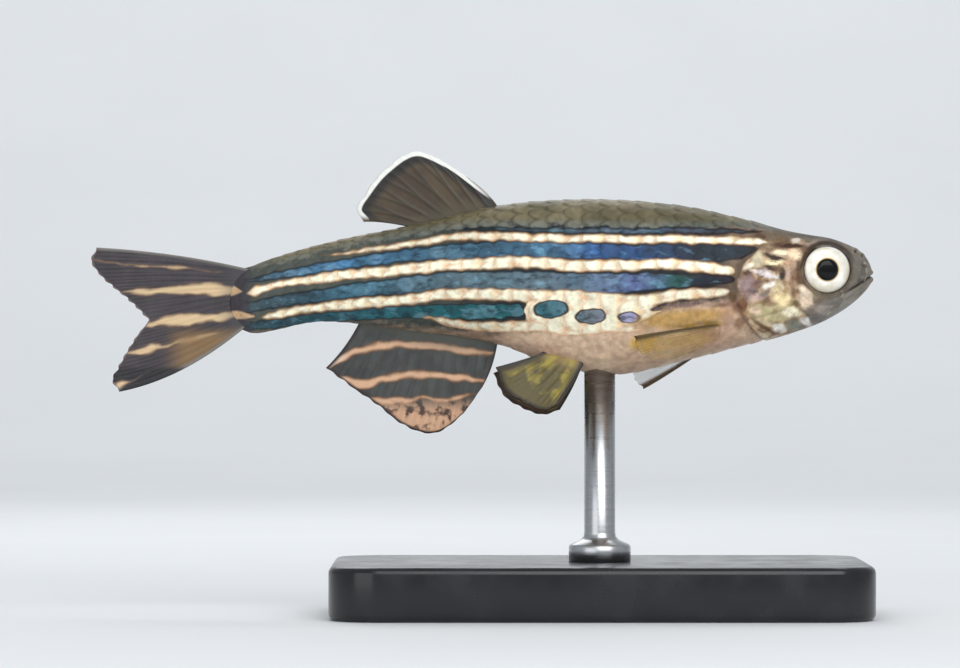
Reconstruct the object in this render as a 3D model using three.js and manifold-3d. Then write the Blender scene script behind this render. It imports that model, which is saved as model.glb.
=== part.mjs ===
// A life-size zebra danio (Danio rerio) held in mid-water by a plain display stand. Millimetres, +Z up.
// The origin is the centre of the stand's underside. The fish faces +X, and its right flank faces -Y.
import * as THREE from "three";
import { mergeVertices } from "three/addons/utils/BufferGeometryUtils.js";
import Module from "manifold-3d";

const wasm = await Module();
wasm.setup();
const { clamp, lerp } = THREE.MathUtils;

// Driving dimensions
const TOTAL_LENGTH = 38; // snout to the tips of the tail fin
const BODY_LENGTH = 30.5; // snout to the end of the tail stem
const GAP = 0.3; // between pieces that touch in life
const ROD_STATION = 13.2; // how far behind the snout the rod meets the belly
const SNOUT_HEIGHT = 16.4; // of the snout's tip above the ground
const MEMBRANE = 0.25; // half the thickness of a fin's web
const RAY = 0.36; // half the thickness of a fin at a ray
const FIN_EDGE = 0.14; // half the thickness at a fin's free edge
const SUNK = 0.7; // how deep a fin's root is set before it is cut to the skin

// Profiles of the body: [distance behind the snout, value]. Heights are from the level of the snout's tip.
const BACK = [[0, 0], [0.5, 1.13], [2, 1.8], [4, 2.18], [6.1, 2.73], [9.2, 3.4], [13.5, 3.72], [18, 3.44],
  [22, 2.55], [26.8, 1.55], [30.5, 0.5]];
const BELLY = [[0, 0], [0.5, -0.9], [2, -2], [4, -2.8], [6.1, -3.31], [9.2, -4.1], [12.5, -4.75],
  [15.4, -4.3], [18.1, -3.3], [22.7, -2.6], [26.8, -2.2], [30.5, -2.75]];
const HALF_WIDTH = [[0, 0], [0.5, 0.92], [2, 1.55], [4, 1.98], [6.1, 2.22], [9.2, 2.42], [13, 2.4],
  [18, 1.85], [22, 1.3], [26.8, 0.74], [30.5, 0.4]];
const FULLNESS = [[0, 2], [2, 2.3], [6, 2.2], [13, 2.05], [22, 2], [30.5, 2.2]]; // 2 is an ellipse, more is boxier
const WIDEST_AT = [[0, 0.5], [4, 0.48], [13, 0.5], [22, 0.52], [30.5, 0.5]]; // as a share of the depth

// A smooth curve through a profile's stations. It runs in the root of the distance, so that the snout is round.
function through(table) {
  const at = table.map(([s]) => Math.sqrt(s));
  const value = table.map(([, v]) => v);
  const last = table.length - 1;
  const rise = (i) => (value[i + 1] - value[i]) / (at[i + 1] - at[i]);
  const slope = (i) => (i === 0 ? rise(0) : i === last ? rise(last - 1) : (rise(i - 1) + rise(i)) / 2);
  return (s) => {
    const q = Math.sqrt(clamp(s, 0, table[last][0]));
    const found = at.findIndex((a) => a > q);
    const i = found < 1 ? last - 1 : found - 1;
    const span = at[i + 1] - at[i];
    const t = (q - at[i]) / span;
    const start = value[i] * (1 + 2 * t) * (1 - t) ** 2 + span * slope(i) * t * (1 - t) ** 2;
    const end = value[i + 1] * t * t * (3 - 2 * t) + span * slope(i + 1) * t * t * (t - 1);
    return start + end;
  };
}

const back = through(BACK);
const belly = through(BELLY);
const halfWidth = through(HALF_WIDTH);
const fullness = through(FULLNESS);
const widestAt = through(WIDEST_AT);

// The tail swings a little to the left, away from the right flank.
const BEND_FROM = 9;
const BEND_MOST = 2;
function bend(s) {
  const along = Math.max(0, (s - BEND_FROM) / (TOTAL_LENGTH - BEND_FROM));
  return BEND_MOST * along ** 2 * (1.5 - 0.5 * along);
}

// From distance behind the snout, height and distance left of the midline to the part's own frame
function place(s, h, side) {
  return new THREE.Vector3(ROD_STATION - s, bend(s) + side, SNOUT_HEIGHT + h);
}

// Half the body's width at a station and a height
function widthAt(s, h) {
  const middle = lerp(belly(s), back(s), widestAt(s));
  const reach = h > middle ? back(s) - middle : middle - belly(s);
  const share = Math.min(1, Math.abs(h - middle) / reach);
  return halfWidth(s) * (1 - share ** fullness(s)) ** (1 / fullness(s));
}

function geometryOf(points, faces) {
  const geometry = new THREE.BufferGeometry();
  geometry.setAttribute("position", new THREE.Float32BufferAttribute(points.flatMap((p) => p.toArray()), 3));
  geometry.setIndex(faces.flat());
  return geometry;
}

// A closed solid, its faces turned outwards
function solid(geometry) {
  const bare = geometry.clone();
  for (const name of Object.keys(bare.attributes)) if (name !== "position") bare.deleteAttribute(name);
  const merged = mergeVertices(bare, 1e-4);
  const vertProperties = new Float32Array(merged.attributes.position.array);
  const triVerts = new Uint32Array(merged.index.array);
  const made = new wasm.Manifold(new wasm.Mesh({ numProp: 3, vertProperties, triVerts }));
  if (made.volume() > 0) return made;
  for (let i = 0; i < triVerts.length; i += 3) triVerts.subarray(i, i + 3).reverse();
  return new wasm.Manifold(new wasm.Mesh({ numProp: 3, vertProperties, triVerts }));
}

// Keeps the largest closed surface of a solid, so that a node is one body.
function largest(made) {
  return made.decompose().sort((a, b) => b.volume() - a.volume())[0];
}

function meshOf(name, made, material) {
  const whole = largest(made).getMesh();
  const geometry = new THREE.BufferGeometry();
  const places = new Float32Array(whole.numVert * 3);
  for (let i = 0; i < whole.numVert; i++) {
    places.set(whole.vertProperties.subarray(i * whole.numProp, i * whole.numProp + 3), i * 3);
  }
  geometry.setAttribute("position", new THREE.BufferAttribute(places, 3));
  geometry.setIndex(new THREE.BufferAttribute(whole.triVerts, 1));
  geometry.computeVertexNormals();
  const mesh = new THREE.Mesh(geometry, material);
  mesh.name = name;
  return mesh;
}

// A closed surface through rings of points, with a fan at each end
function loft(rings) {
  const around = rings[0].length;
  const points = rings.flat();
  const faces = [];
  for (let r = 0; r + 1 < rings.length; r++) {
    for (let i = 0; i < around; i++) {
      const j = (i + 1) % around;
      const [a, b, c, d] = [r * around + i, r * around + j, (r + 1) * around + j, (r + 1) * around + i];
      faces.push([a, b, c], [a, c, d]);
    }
  }
  for (const [r, turned] of [[0, true], [rings.length - 1, false]]) {
    const centre = points.length;
    points.push(rings[r].reduce((sum, p) => sum.add(p), new THREE.Vector3()).divideScalar(around));
    for (let i = 0; i < around; i++) {
      const [a, b] = [r * around + i, r * around + ((i + 1) % around)];
      faces.push(turned ? [b, a, centre] : [a, b, centre]);
    }
  }
  return geometryOf(points, faces);
}

// A tapered feeler or lip: a tube of few sides along a curve through points
function tube(points, radiusAt, steps, sides) {
  const curve = new THREE.CatmullRomCurve3(points);
  const frames = curve.computeFrenetFrames(steps, false);
  const rings = [];
  for (let k = 0; k <= steps; k++) {
    const centre = curve.getPointAt(k / steps);
    const radius = radiusAt(k / steps);
    rings.push(Array.from({ length: sides }, (_, i) => {
      const turn = (2 * Math.PI * i) / sides;
      return centre.clone()
        .addScaledVector(frames.normals[k], radius * Math.cos(turn))
        .addScaledVector(frames.binormals[k], radius * Math.sin(turn));
    }));
  }
  return solid(loft(rings));
}

// A rounder outline through the points of a coarse one
function smooth(outline, steps) {
  const curve = new THREE.CatmullRomCurve3(outline.map(([s, h]) => new THREE.Vector3(s, h, 0)), false, "centripetal");
  return curve.getPoints(steps).map(({ x, y }) => [x, y]);
}

// A straight prism right through the fish, from an outline in [distance behind the snout, height]
const PRISM_REACH = 9;
function prism(outline, from = -PRISM_REACH, to = PRISM_REACH) {
  const shape = new THREE.Shape(outline.map(([s, h]) => new THREE.Vector2(ROD_STATION - s, SNOUT_HEIGHT + h)));
  const geometry = new THREE.ExtrudeGeometry(shape, { depth: to - from, bevelEnabled: false });
  geometry.rotateX(Math.PI / 2);
  geometry.translate(0, to, 0);
  return solid(geometry);
}

// The whole body, or the same grown by some distance to the sides, and by another up, down and lengthwise
const BODY_RINGS = 46;
const BODY_SIDES = 36;
function body(wider = 0, grow = wider) {
  const rings = [];
  const longest = Math.sqrt(BODY_LENGTH);
  for (let k = 0; k <= BODY_RINGS; k++) {
    const s = Math.max(1e-4, longest * (k / BODY_RINGS)) ** 2;
    const middle = lerp(belly(s), back(s), widestAt(s));
    const power = 2 / fullness(s);
    const wide = Math.max(0.02, halfWidth(s) + wider);
    const up = Math.max(0.02, back(s) - middle + grow);
    const down = Math.max(0.02, middle - belly(s) + grow);
    const moved = s - grow * Math.exp(-s / 0.6) + grow * Math.exp((s - BODY_LENGTH) / 0.6);
    rings.push(Array.from({ length: BODY_SIDES }, (_, i) => {
      const turn = (2 * Math.PI * i) / BODY_SIDES;
      const [c, v] = [Math.cos(turn), Math.sin(turn)];
      const side = wide * Math.sign(c) * Math.abs(c) ** power;
      const rise = (v > 0 ? up : down) * Math.sign(v) * Math.abs(v) ** power;
      return place(moved, middle + rise, side);
    }));
  }
  return solid(loft(rings));
}

const wholeBody = body();
const clearance = body(GAP);

// Fins. A ray is its root, its tip and how far its middle bows, each as [distance behind the snout, height, side].
const WEB_NOTCH = 0.015; // how much shorter the web is than the rays beside it
function rayPoint({ root, tip, bow }, t) {
  return root.map((from, i) => from + (tip[i] - from) * t + bow[i] * 4 * t * (1 - t));
}

// A fin's web, with a raised ridge along each ray. Both faces are split into triangles alike.
function fin(rays, rows) {
  const columns = 2 * rays.length - 1;
  const grid = Array.from({ length: columns }, (_, c) => Array.from({ length: rows + 1 }, (_, r) => {
    const t = r / rows;
    if (c % 2 === 0) return place(...rayPoint(rays[c / 2], t));
    const short = t * (1 - WEB_NOTCH * t);
    return place(...rayPoint(rays[(c - 1) / 2], short)).lerp(place(...rayPoint(rays[(c + 1) / 2], short)), 0.5);
  }));
  const normalAt = (c, r) => {
    const across = grid[Math.min(c + 1, columns - 1)][r].clone().sub(grid[Math.max(c - 1, 0)][r]);
    const along = grid[c][Math.min(r + 1, rows)].clone().sub(grid[c][Math.max(r - 1, 0)]);
    return across.cross(along).normalize();
  };
  const half = (c, r) => {
    const t = r / rows;
    const root = (RAY + MEMBRANE) / 2;
    const full = lerp(root, c % 2 === 0 ? lerp(RAY, RAY * 0.85, t) : MEMBRANE, Math.min(1, t / 0.4));
    return t > 0.85 ? lerp(full, FIN_EDGE, (t - 0.85) / 0.15) : full;
  };
  const points = [];
  for (const way of [1, -1]) {
    for (let c = 0; c < columns; c++) {
      for (let r = 0; r <= rows; r++) points.push(grid[c][r].clone().addScaledVector(normalAt(c, r), way * half(c, r)));
    }
  }
  const id = (way, c, r) => way * columns * (rows + 1) + c * (rows + 1) + r;
  const faces = [];
  for (let c = 0; c + 1 < columns; c++) {
    for (let r = 0; r < rows; r++) {
      const [a, b, d, e] = [[c, r], [c + 1, r], [c + 1, r + 1], [c, r + 1]];
      faces.push([id(0, ...a), id(0, ...b), id(0, ...d)], [id(0, ...a), id(0, ...d), id(0, ...e)]);
      faces.push([id(1, ...b), id(1, ...a), id(1, ...d)], [id(1, ...d), id(1, ...a), id(1, ...e)]);
    }
  }
  const rim = [];
  for (let c = 0; c + 1 < columns; c++) rim.push([[c, 0], [c + 1, 0]]);
  for (let r = 0; r < rows; r++) rim.push([[columns - 1, r], [columns - 1, r + 1]]);
  for (let c = columns - 1; c > 0; c--) rim.push([[c, rows], [c - 1, rows]]);
  for (let r = rows; r > 0; r--) rim.push([[0, r], [0, r - 1]]);
  for (const [a, b] of rim) {
    faces.push([id(0, ...b), id(0, ...a), id(1, ...a)], [id(0, ...b), id(1, ...a), id(1, ...b)]);
  }
  return solid(geometryOf(points, faces));
}

// Rays spread evenly. Root, tip and bow are functions of a ray's share of the fin, from 0 to 1.
function fan(count, rootAt, tipAt, bow) {
  return Array.from({ length: count }, (_, i) => {
    const share = i / (count - 1);
    return { root: rootAt(share), tip: tipAt(share), bow: bow(share) };
  });
}

// A curve through a few free-edge points, each [distance behind the snout, height, side]
function edge(points) {
  const curve = new THREE.CatmullRomCurve3(points.map((p) => new THREE.Vector3(...p)), false, "centripetal");
  return (share) => curve.getPoint(share).toArray();
}

// Materials
const skinBack = new THREE.MeshStandardMaterial({ color: 0x6d6750, roughness: 0.35, metalness: 0.1 });
const skinFlank = new THREE.MeshStandardMaterial({ color: 0x5f7d96, roughness: 0.3, metalness: 0.25 });
const silver = new THREE.MeshStandardMaterial({ color: 0xd8cfb8, roughness: 0.25, metalness: 0.35 });
const finWeb = new THREE.MeshStandardMaterial({ color: 0x57503c, roughness: 0.45, metalness: 0 });
const yellowWeb = new THREE.MeshStandardMaterial({ color: 0xa8962e, roughness: 0.45, metalness: 0 });
const eyeShine = new THREE.MeshStandardMaterial({ color: 0xf4ecd8, roughness: 0.12, metalness: 0.2 });
const standBlack = new THREE.MeshStandardMaterial({ color: 0x1c1c1e, roughness: 0.4, metalness: 0 });
const standSteel = new THREE.MeshStandardMaterial({ color: 0xb9bcc0, roughness: 0.3, metalness: 1 });

const fish = new THREE.Group();

// Head, lower jaw and gill covers: cut from the whole body
const GILL_OPENING = smooth([[5.3, 5], [5.35, 2], [5.6, 1.3], [6.3, 0.6], [6.63, -0.4], [6.55, -1.4],
  [6.15, -2.2], [5.5, -2.9], [5.2, -5]], 24);
const COVER_DEPTH = 0.6; // thickness of a gill cover
const COVER_FRONT = 4.15; // just behind the eye
const MOUTH_CORNER = [1.3, -0.82];
const JAW_HINGE = [3.1, -3.4]; // where the cut behind the jaw leaves the chin
const mouthHeight = (s) => lerp(0.02, MOUTH_CORNER[1], s / MOUTH_CORNER[0]);

const behindGills = (shift) => prism([[-4, 6], ...GILL_OPENING.map(([s, h]) => [s + shift, h]), [-4, -6]]);
const headBlock = behindGills(0);
const inner = body(-COVER_DEPTH, 0);
const innerClear = body(-COVER_DEPTH - GAP, 0);

function coverOutline(grow) {
  const top = 0.95 + grow;
  const front = COVER_FRONT - grow;
  const low = -2.6 - grow;
  return [[9, top], ...smooth([[front + 1.1, top], [front + 0.45, top - 0.15], [front + 0.1, 0.3], [front, -0.9],
    [front + 0.25, -1.9], [front + 0.8, low + 0.2], [front + 1.6, low]], 12), [9, low]];
}

const JAW_BLOCK = [[-2, mouthHeight(-2)], MOUTH_CORNER, JAW_HINGE, [3.1, -6], [-2, -6]];
const jawClear = prism([[-2, mouthHeight(-2) + GAP * 1.2], [MOUTH_CORNER[0] + GAP, MOUTH_CORNER[1] + GAP * 0.6],
  [JAW_HINGE[0] + GAP * 1.25, JAW_HINGE[1]], [JAW_HINGE[0] + GAP * 1.25, -6], [-2, -6]]);

// A lip follows the skin along the mouth, from one corner round the snout to the other.
const LIP = 0.2;
const LIP_STEPS = 6;
function lipPath(above) {
  const points = [];
  for (let k = -LIP_STEPS; k <= LIP_STEPS; k++) {
    const s = MOUTH_CORNER[0] * (k / LIP_STEPS) ** 2;
    const h = mouthHeight(s) + above;
    points.push(place(s + 0.12, h, Math.sign(k) * Math.max(0, widthAt(s + 0.12, h) - 0.06)));
  }
  return points;
}
const lipRadius = (t) => LIP * (0.6 + 0.4 * Math.sin(Math.PI * t));
const upperLip = tube(lipPath(GAP * 1.2 + LIP * 0.9), lipRadius, 16, 8).subtract(jawClear);
const lowerLip = tube(lipPath(-LIP), lipRadius, 16, 8).intersect(prism(JAW_BLOCK));

// Eyes: a flattened globe with a silver iris and a pupil that stands proud
const EYE = { station: 2.28, height: 0.3, side: 1.12, radius: 1.2, deep: 0.62, bulge: 0.74, pupil: 0.52 };
const EYE_SIDES = 24;
function eyeball(grow, way) {
  const profile = [[0, -EYE.deep - grow], [EYE.radius * 0.6, -EYE.deep * 0.82 - grow],
    [EYE.radius * 0.93 + grow * 0.8, -EYE.deep * 0.35 - grow * 0.5], [EYE.radius + grow, 0.08],
    [EYE.radius * 0.9 + grow * 0.8, 0.38 + grow * 0.5], [EYE.pupil + 0.04, EYE.bulge * 0.8 + grow]];
  const dome = [[EYE.pupil, EYE.bulge * 0.9 + grow], [EYE.pupil * 0.6, EYE.bulge + 0.03 + grow],
    [0, EYE.bulge + 0.07 + grow]];
  const outline = [...profile, ...dome].map(([r, y]) => new THREE.Vector2(r, y));
  const geometry = new THREE.LatheGeometry(outline, EYE_SIDES);
  if (way < 0) geometry.rotateX(Math.PI);
  const centre = place(EYE.station, EYE.height, way * EYE.side);
  geometry.translate(centre.x, centre.y, centre.z);
  return solid(geometry);
}

// Nostrils: two openings on each side, in front of the eye
const NOSTRILS = [{ station: 0.5, height: 0.98, radius: 0.12 }, { station: 0.86, height: 1.2, radius: 0.15 }];
function nostril({ station, height, radius }, way) {
  const depth = 0.5;
  const geometry = new THREE.CylinderGeometry(radius, radius * 0.8, depth, 8);
  const at = place(station, height, way * widthAt(station, height));
  const inward = new THREE.Vector3(-0.35, -way * 0.75, -0.55).normalize();
  geometry.applyQuaternion(new THREE.Quaternion().setFromUnitVectors(new THREE.Vector3(0, -1, 0), inward));
  geometry.translate(...at.addScaledVector(inward, depth * 0.25).toArray());
  return solid(geometry);
}

let head = wholeBody.intersect(headBlock).subtract(jawClear).add(upperLip);
head = head.subtract(prism(coverOutline(GAP)).subtract(innerClear));
for (const way of [-1, 1]) {
  head = head.subtract(eyeball(GAP, way));
  for (const opening of NOSTRILS) head = head.subtract(nostril(opening, way));
}
fish.add(meshOf("head", head, skinBack));
fish.add(meshOf("lower_jaw", wholeBody.intersect(prism(JAW_BLOCK)).add(lowerLip), silver));

const covers = wholeBody.intersect(headBlock).intersect(prism(coverOutline(0))).subtract(inner);
const sides = [["right", -1], ["left", 1]];
for (const [name, way] of sides) {
  const half = prism([[-4, 6], [12, 6], [12, -6], [-4, -6]], ...(way < 0 ? [-PRISM_REACH, 0] : [0, PRISM_REACH]));
  fish.add(meshOf("gill_cover_" + name, covers.intersect(half), silver));
  fish.add(meshOf("eye_" + name, eyeball(0, way), eyeShine));
}

// Trunk and tail stem: the rest of the body, parted in front of the dorsal fin
const TRUNK_END = 17.4;
const stretch = (from, to) => prism([[from, 8], [to, 8], [to, -8], [from, -8]]);
const rear = wholeBody.subtract(behindGills(GAP));
fish.add(meshOf("trunk", rear.intersect(stretch(-2, TRUNK_END)), skinFlank));
fish.add(meshOf("tail_stem", rear.intersect(stretch(TRUNK_END + GAP, BODY_LENGTH + 2)), skinFlank));

// Dorsal fin: short base, straight front edge and a long trailing corner
const dorsalTips = edge([[19.6, 4.75, 0], [21.1, 5.75, 0], [22.25, 6.08, 0], [23.65, 5.2, 0.1], [24.55, 4.1, 0.15],
  [25, 3.25, 0.15], [24.65, 2.65, 0.1]]);
const dorsal = fan(9, (share) => {
  const s = lerp(17.9, 21.6, share);
  return [s, back(s) - SUNK, 0];
}, dorsalTips, (share) => [-0.1 + 0.3 * share, 0.14, 0]);
fish.add(meshOf("dorsal_fin", fin(dorsal, 7).subtract(clearance), finWeb));

// Anal fin: long base, deepest in front
const analTips = edge([[18.9, -5.4, 0], [20, -6.85, 0], [21.2, -7.62, 0], [22.5, -7.35, 0.05], [24, -6.25, 0.1],
  [25.5, -5.2, 0.15], [26.5, -4.45, 0.15]]);
const anal = fan(13, (share) => {
  const s = lerp(18.1, 24.7, share);
  return [s, belly(s) + SUNK, 0];
}, analTips, () => [-0.12, -0.1, 0]);
fish.add(meshOf("anal_fin", fin(anal, 7).subtract(clearance), finWeb));

// Tail fin: two lobes, each a node of its own, parted along the fork
const TAIL_ROOT = 30.1;
const TAIL_MIDDLE = -1.14;
const upperTips = edge([[37.7, 1.42, 0], [38, 0.8, 0], [37.55, 0.05, 0.05], [36.4, -0.95, 0.1], [35.3, -1.98, 0.1]]);
const lowerTips = edge([[35.3, -2.32, 0.1], [35.9, -3.1, 0.1], [36.5, -4.1, 0.05], [36.95, -5.1, 0],
  [36.6, -5.62, 0]]);
const upperLobe = fan(9, (share) => [TAIL_ROOT, lerp(0.33, TAIL_MIDDLE + GAP / 2, share), 0], upperTips,
  (share) => [0, 0.18 * (1 - share), 0.1]);
const lowerLobe = fan(9, (share) => [TAIL_ROOT, lerp(TAIL_MIDDLE - GAP / 2, -2.2, share), 0], lowerTips,
  (share) => [0, -0.55 * share ** 2, 0.1]);
fish.add(meshOf("tail_fin_upper", fin(upperLobe, 10).subtract(clearance), finWeb));
fish.add(meshOf("tail_fin_lower", fin(lowerLobe, 10).subtract(clearance), finWeb));

// Paired fins. Roots lie on a short line on the skin; the sides differ a little, as the fish steers with them.
function skinRoot(s, h, way) {
  return [s, h, way * (widthAt(s, h) - SUNK * 0.6)];
}
const PECTORALS = {
  right: {
    tips: [[11.65, -2.9, -3.3], [11.5, -3.45, -3.2], [10.9, -4, -3], [9.9, -4, -2.8], [9, -3.75, -2.5]],
    root: (share) => skinRoot(lerp(6.95, 7.4, share), lerp(-2.4, -3.15, share), -1),
    bow: [0, 0.06, -0.25],
  },
  left: {
    tips: [[11, -5.5, 2.6], [11.45, -4.95, 3], [11.4, -4.1, 3.4], [10.7, -3.3, 3.5], [9.8, -2.7, 3.3]],
    root: (share) => skinRoot(lerp(7.3, 6.95, share), lerp(-3.1, -2.3, share), 1),
    bow: [0, -0.12, 0.3],
  },
};
const PELVICS = {
  right: {
    tips: [[15.25, -6.25, -1.95], [15.9, -6.5, -2], [17, -6.1, -1.95], [17.85, -5.45, -1.8], [18.3, -4.7, -1.7]],
    root: (share) => skinRoot(lerp(13.95, 15.2, share), lerp(-4.1, -3.8, share), -1),
    bow: [-0.2, 0, -0.1],
  },
  left: {
    tips: [[15.1, -6.5, 2.1], [15.9, -6.75, 2.15], [17, -6.4, 2.1], [17.9, -5.75, 1.95], [18.4, -5, 1.8]],
    root: (share) => skinRoot(lerp(13.95, 15.2, share), lerp(-4.1, -3.8, share), 1),
    bow: [-0.2, 0, 0.1],
  },
};
for (const [name] of sides) {
  const front = PECTORALS[name];
  const hind = PELVICS[name];
  const frontFin = fin(fan(10, front.root, edge(front.tips), () => front.bow), 7);
  const hindFin = fin(fan(8, hind.root, edge(hind.tips), () => hind.bow), 6);
  fish.add(meshOf("pectoral_fin_" + name, frontFin.subtract(clearance), yellowWeb));
  fish.add(meshOf("pelvic_fin_" + name, hindFin.subtract(clearance), yellowWeb));
}

// Barbels: a short pair on the snout and a longer pair at the corners of the mouth
const BARBEL = 0.25;
const BARBELS = {
  snout_barbel: [[0.62, 0.6, 0.6], [0.42, 0.55, 1.1], [0.38, 0.2, 1.5], [0.52, -0.3, 1.72]],
  mouth_barbel: [[1.6, -0.7, 1], [1.55, -0.95, 1.7], [1.95, -1.5, 2.1], [2.75, -2.25, 2.25]],
};
const grownLip = tube(lipPath(GAP * 1.2 + LIP * 0.9), (t) => lipRadius(t) + GAP, 16, 8);
for (const [kind, points] of Object.entries(BARBELS)) {
  for (const [name, way] of sides) {
    const path = points.map(([s, h, side]) => place(s, h, way * side));
    const feeler = tube(path, (t) => lerp(BARBEL, BARBEL * 0.4, t), 9, 7);
    fish.add(meshOf(kind + "_" + name, feeler.subtract(clearance).subtract(grownLip), finWeb));
  }
}

// Display stand: a bevelled slab and one rod with a small foot, up to the belly
const BASE = { length: 26, width: 15, height: 2.6, corner: 2.4, bevel: 0.35 };
const ROD_RADIUS = 0.75;
const ROD_FOOT = 1.5;
function slab() {
  const [x, y, r] = [BASE.length / 2 - BASE.bevel, BASE.width / 2 - BASE.bevel, BASE.corner - BASE.bevel];
  const shape = new THREE.Shape();
  const corners = [[x, y, 0], [-x, y, 1], [-x, -y, 2], [x, -y, 3]];
  for (const [cx, cy, quarter] of corners) {
    const start = (quarter * Math.PI) / 2;
    shape.absarc(cx - Math.sign(cx) * r, cy - Math.sign(cy) * r, r, start, start + Math.PI / 2, false);
  }
  const bevel = { bevelSize: BASE.bevel, bevelThickness: BASE.bevel, bevelSegments: 2 };
  const geometry = new THREE.ExtrudeGeometry(shape, { depth: BASE.height - BASE.bevel * 2, curveSegments: 6, ...bevel });
  geometry.translate(0, 0, BASE.bevel);
  return solid(geometry);
}
fish.add(meshOf("stand_base", slab(), standBlack));

const rodTop = SNOUT_HEIGHT + belly(ROD_STATION) + 1;
const rodFoot = BASE.height + GAP;
const rodProfile = [[0, rodFoot], [ROD_FOOT, rodFoot], [ROD_FOOT, rodFoot + 0.5], [ROD_RADIUS + 0.1, rodFoot + 0.9],
  [ROD_RADIUS, rodFoot + 1.1], [ROD_RADIUS, rodTop], [0, rodTop]].map(([r, z]) => new THREE.Vector2(r, z));
const rod = new THREE.LatheGeometry(rodProfile, 20).rotateX(Math.PI / 2);
rod.translate(0, bend(ROD_STATION), 0);
fish.add(meshOf("stand_rod", solid(rod).subtract(clearance), standSteel));

export default fish;
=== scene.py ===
import math
import random

import bmesh
import bpy
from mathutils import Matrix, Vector, noise


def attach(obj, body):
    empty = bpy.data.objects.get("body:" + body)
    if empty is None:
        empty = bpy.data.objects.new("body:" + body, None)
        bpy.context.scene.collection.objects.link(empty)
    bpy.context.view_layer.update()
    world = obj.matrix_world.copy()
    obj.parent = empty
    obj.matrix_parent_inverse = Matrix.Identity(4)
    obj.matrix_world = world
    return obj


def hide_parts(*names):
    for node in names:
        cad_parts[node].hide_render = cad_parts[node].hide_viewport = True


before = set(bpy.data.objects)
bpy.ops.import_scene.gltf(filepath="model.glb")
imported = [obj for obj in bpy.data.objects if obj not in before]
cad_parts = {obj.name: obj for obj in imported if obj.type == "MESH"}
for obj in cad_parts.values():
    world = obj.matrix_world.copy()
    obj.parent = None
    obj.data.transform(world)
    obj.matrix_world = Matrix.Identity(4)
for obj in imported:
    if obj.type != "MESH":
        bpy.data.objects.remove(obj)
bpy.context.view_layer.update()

# Skin of head, trunk and tail stem.
# The real one is a thin, moist skin with small round scales that overlap like tiles behind the gill opening.
# It is one closed mesh over all the flesh, with the mouth, nostrils, orbits and gill covers shaped in it.
MM = 0.001
ROD_STATION = 13.2  # distance behind the snout where the rod meets the belly
SNOUT_HEIGHT = 16.4  # of the snout's tip above the ground
TOTAL_LENGTH = 38.0
BEND_FROM = 9.0
BEND_MOST = 2.0

# [distance behind the snout, value] in mm. Heights are from the level of the snout's tip.
BACK = [(0, 0), (0.5, 1.13), (2, 1.8), (4, 2.18), (6.1, 2.73), (9.2, 3.4), (13.5, 3.72), (18, 3.44),
        (22, 2.55), (26.8, 1.55), (30.5, 0.5), (31.2, 0.36)]
BELLY = [(0, 0), (0.5, -0.9), (2, -2), (4, -2.8), (6.1, -3.31), (9.2, -4.1), (12.5, -4.75), (15.4, -4.3),
         (18.1, -3.3), (22.7, -2.6), (26.8, -2.2), (30.5, -2.75), (31.2, -2.55)]
HALF_WIDTH = [(0, 0), (0.5, 0.92), (2, 1.55), (4, 1.98), (6.1, 2.22), (9.2, 2.42), (13, 2.4), (18, 1.85),
              (22, 1.3), (26.8, 0.74), (29.6, 0.46), (30.5, 0.28), (31.2, 0)]
FULLNESS = [(0, 2), (2, 2.3), (6, 2.2), (13, 2.05), (22, 2), (31.2, 2.2)]
WIDEST_AT = [(0, 0.5), (4, 0.48), (13, 0.5), (22, 0.52), (31.2, 0.5)]
SKIN_END = 31.2


def through(table, root=1.0):
    """A smooth curve through the table's points. With a root of 0.5 its start is round."""
    at = [s ** root for s, _ in table]
    value = [v for _, v in table]
    last = len(table) - 1

    def rise(i):
        return (value[i + 1] - value[i]) / (at[i + 1] - at[i])

    slope = [rise(0)] + [(rise(i - 1) + rise(i)) / 2 for i in range(1, last)] + [rise(last - 1)]

    def curve(s):
        q = min(max(s, table[0][0]), table[last][0]) ** root
        i = 0
        while i < last - 1 and at[i + 1] < q:
            i += 1
        span = at[i + 1] - at[i]
        t = (q - at[i]) / span
        start = value[i] * (1 + 2 * t) * (1 - t) ** 2 + span * slope[i] * t * (1 - t) ** 2
        end = value[i + 1] * t * t * (3 - 2 * t) + span * slope[i + 1] * t * t * (t - 1)
        return start + end

    return curve


back = through(BACK, 0.5)
belly = through(BELLY, 0.5)
half_width = through(HALF_WIDTH, 0.5)
fullness = through(FULLNESS, 0.5)
widest_at = through(WIDEST_AT, 0.5)


def mix(a, b, share):
    return a + (b - a) * share


def ramp(low, high, value):
    """0 at low and before it, 1 at high and past it, and an S-curve between. Low may be the larger."""
    t = min(max((value - low) / (high - low), 0.0), 1.0)
    return t * t * (3 - 2 * t)


def bump(distance, width):
    return math.exp(-(distance / width) ** 2)


def bend(s):
    """How far the tail has swung to the left."""
    along = max(0.0, (s - BEND_FROM) / (TOTAL_LENGTH - BEND_FROM))
    return BEND_MOST * along ** 2 * (1.5 - 0.5 * along)


def place(s, h, side):
    """From distance behind the snout, height and distance left of the midline to the model's own metres."""
    return Vector((ROD_STATION - s, bend(s) + side, SNOUT_HEIGHT + h)) * MM


def unplace(co):
    s = ROD_STATION - co.x / MM
    return s, co.z / MM - SNOUT_HEIGHT, co.y / MM - bend(s)


def width_at(s, h):
    middle = mix(belly(s), back(s), widest_at(s))
    reach = back(s) - middle if h > middle else middle - belly(s)
    share = min(1.0, abs(h - middle) / reach)
    return half_width(s) * (1 - share ** fullness(s)) ** (1 / fullness(s))


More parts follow.
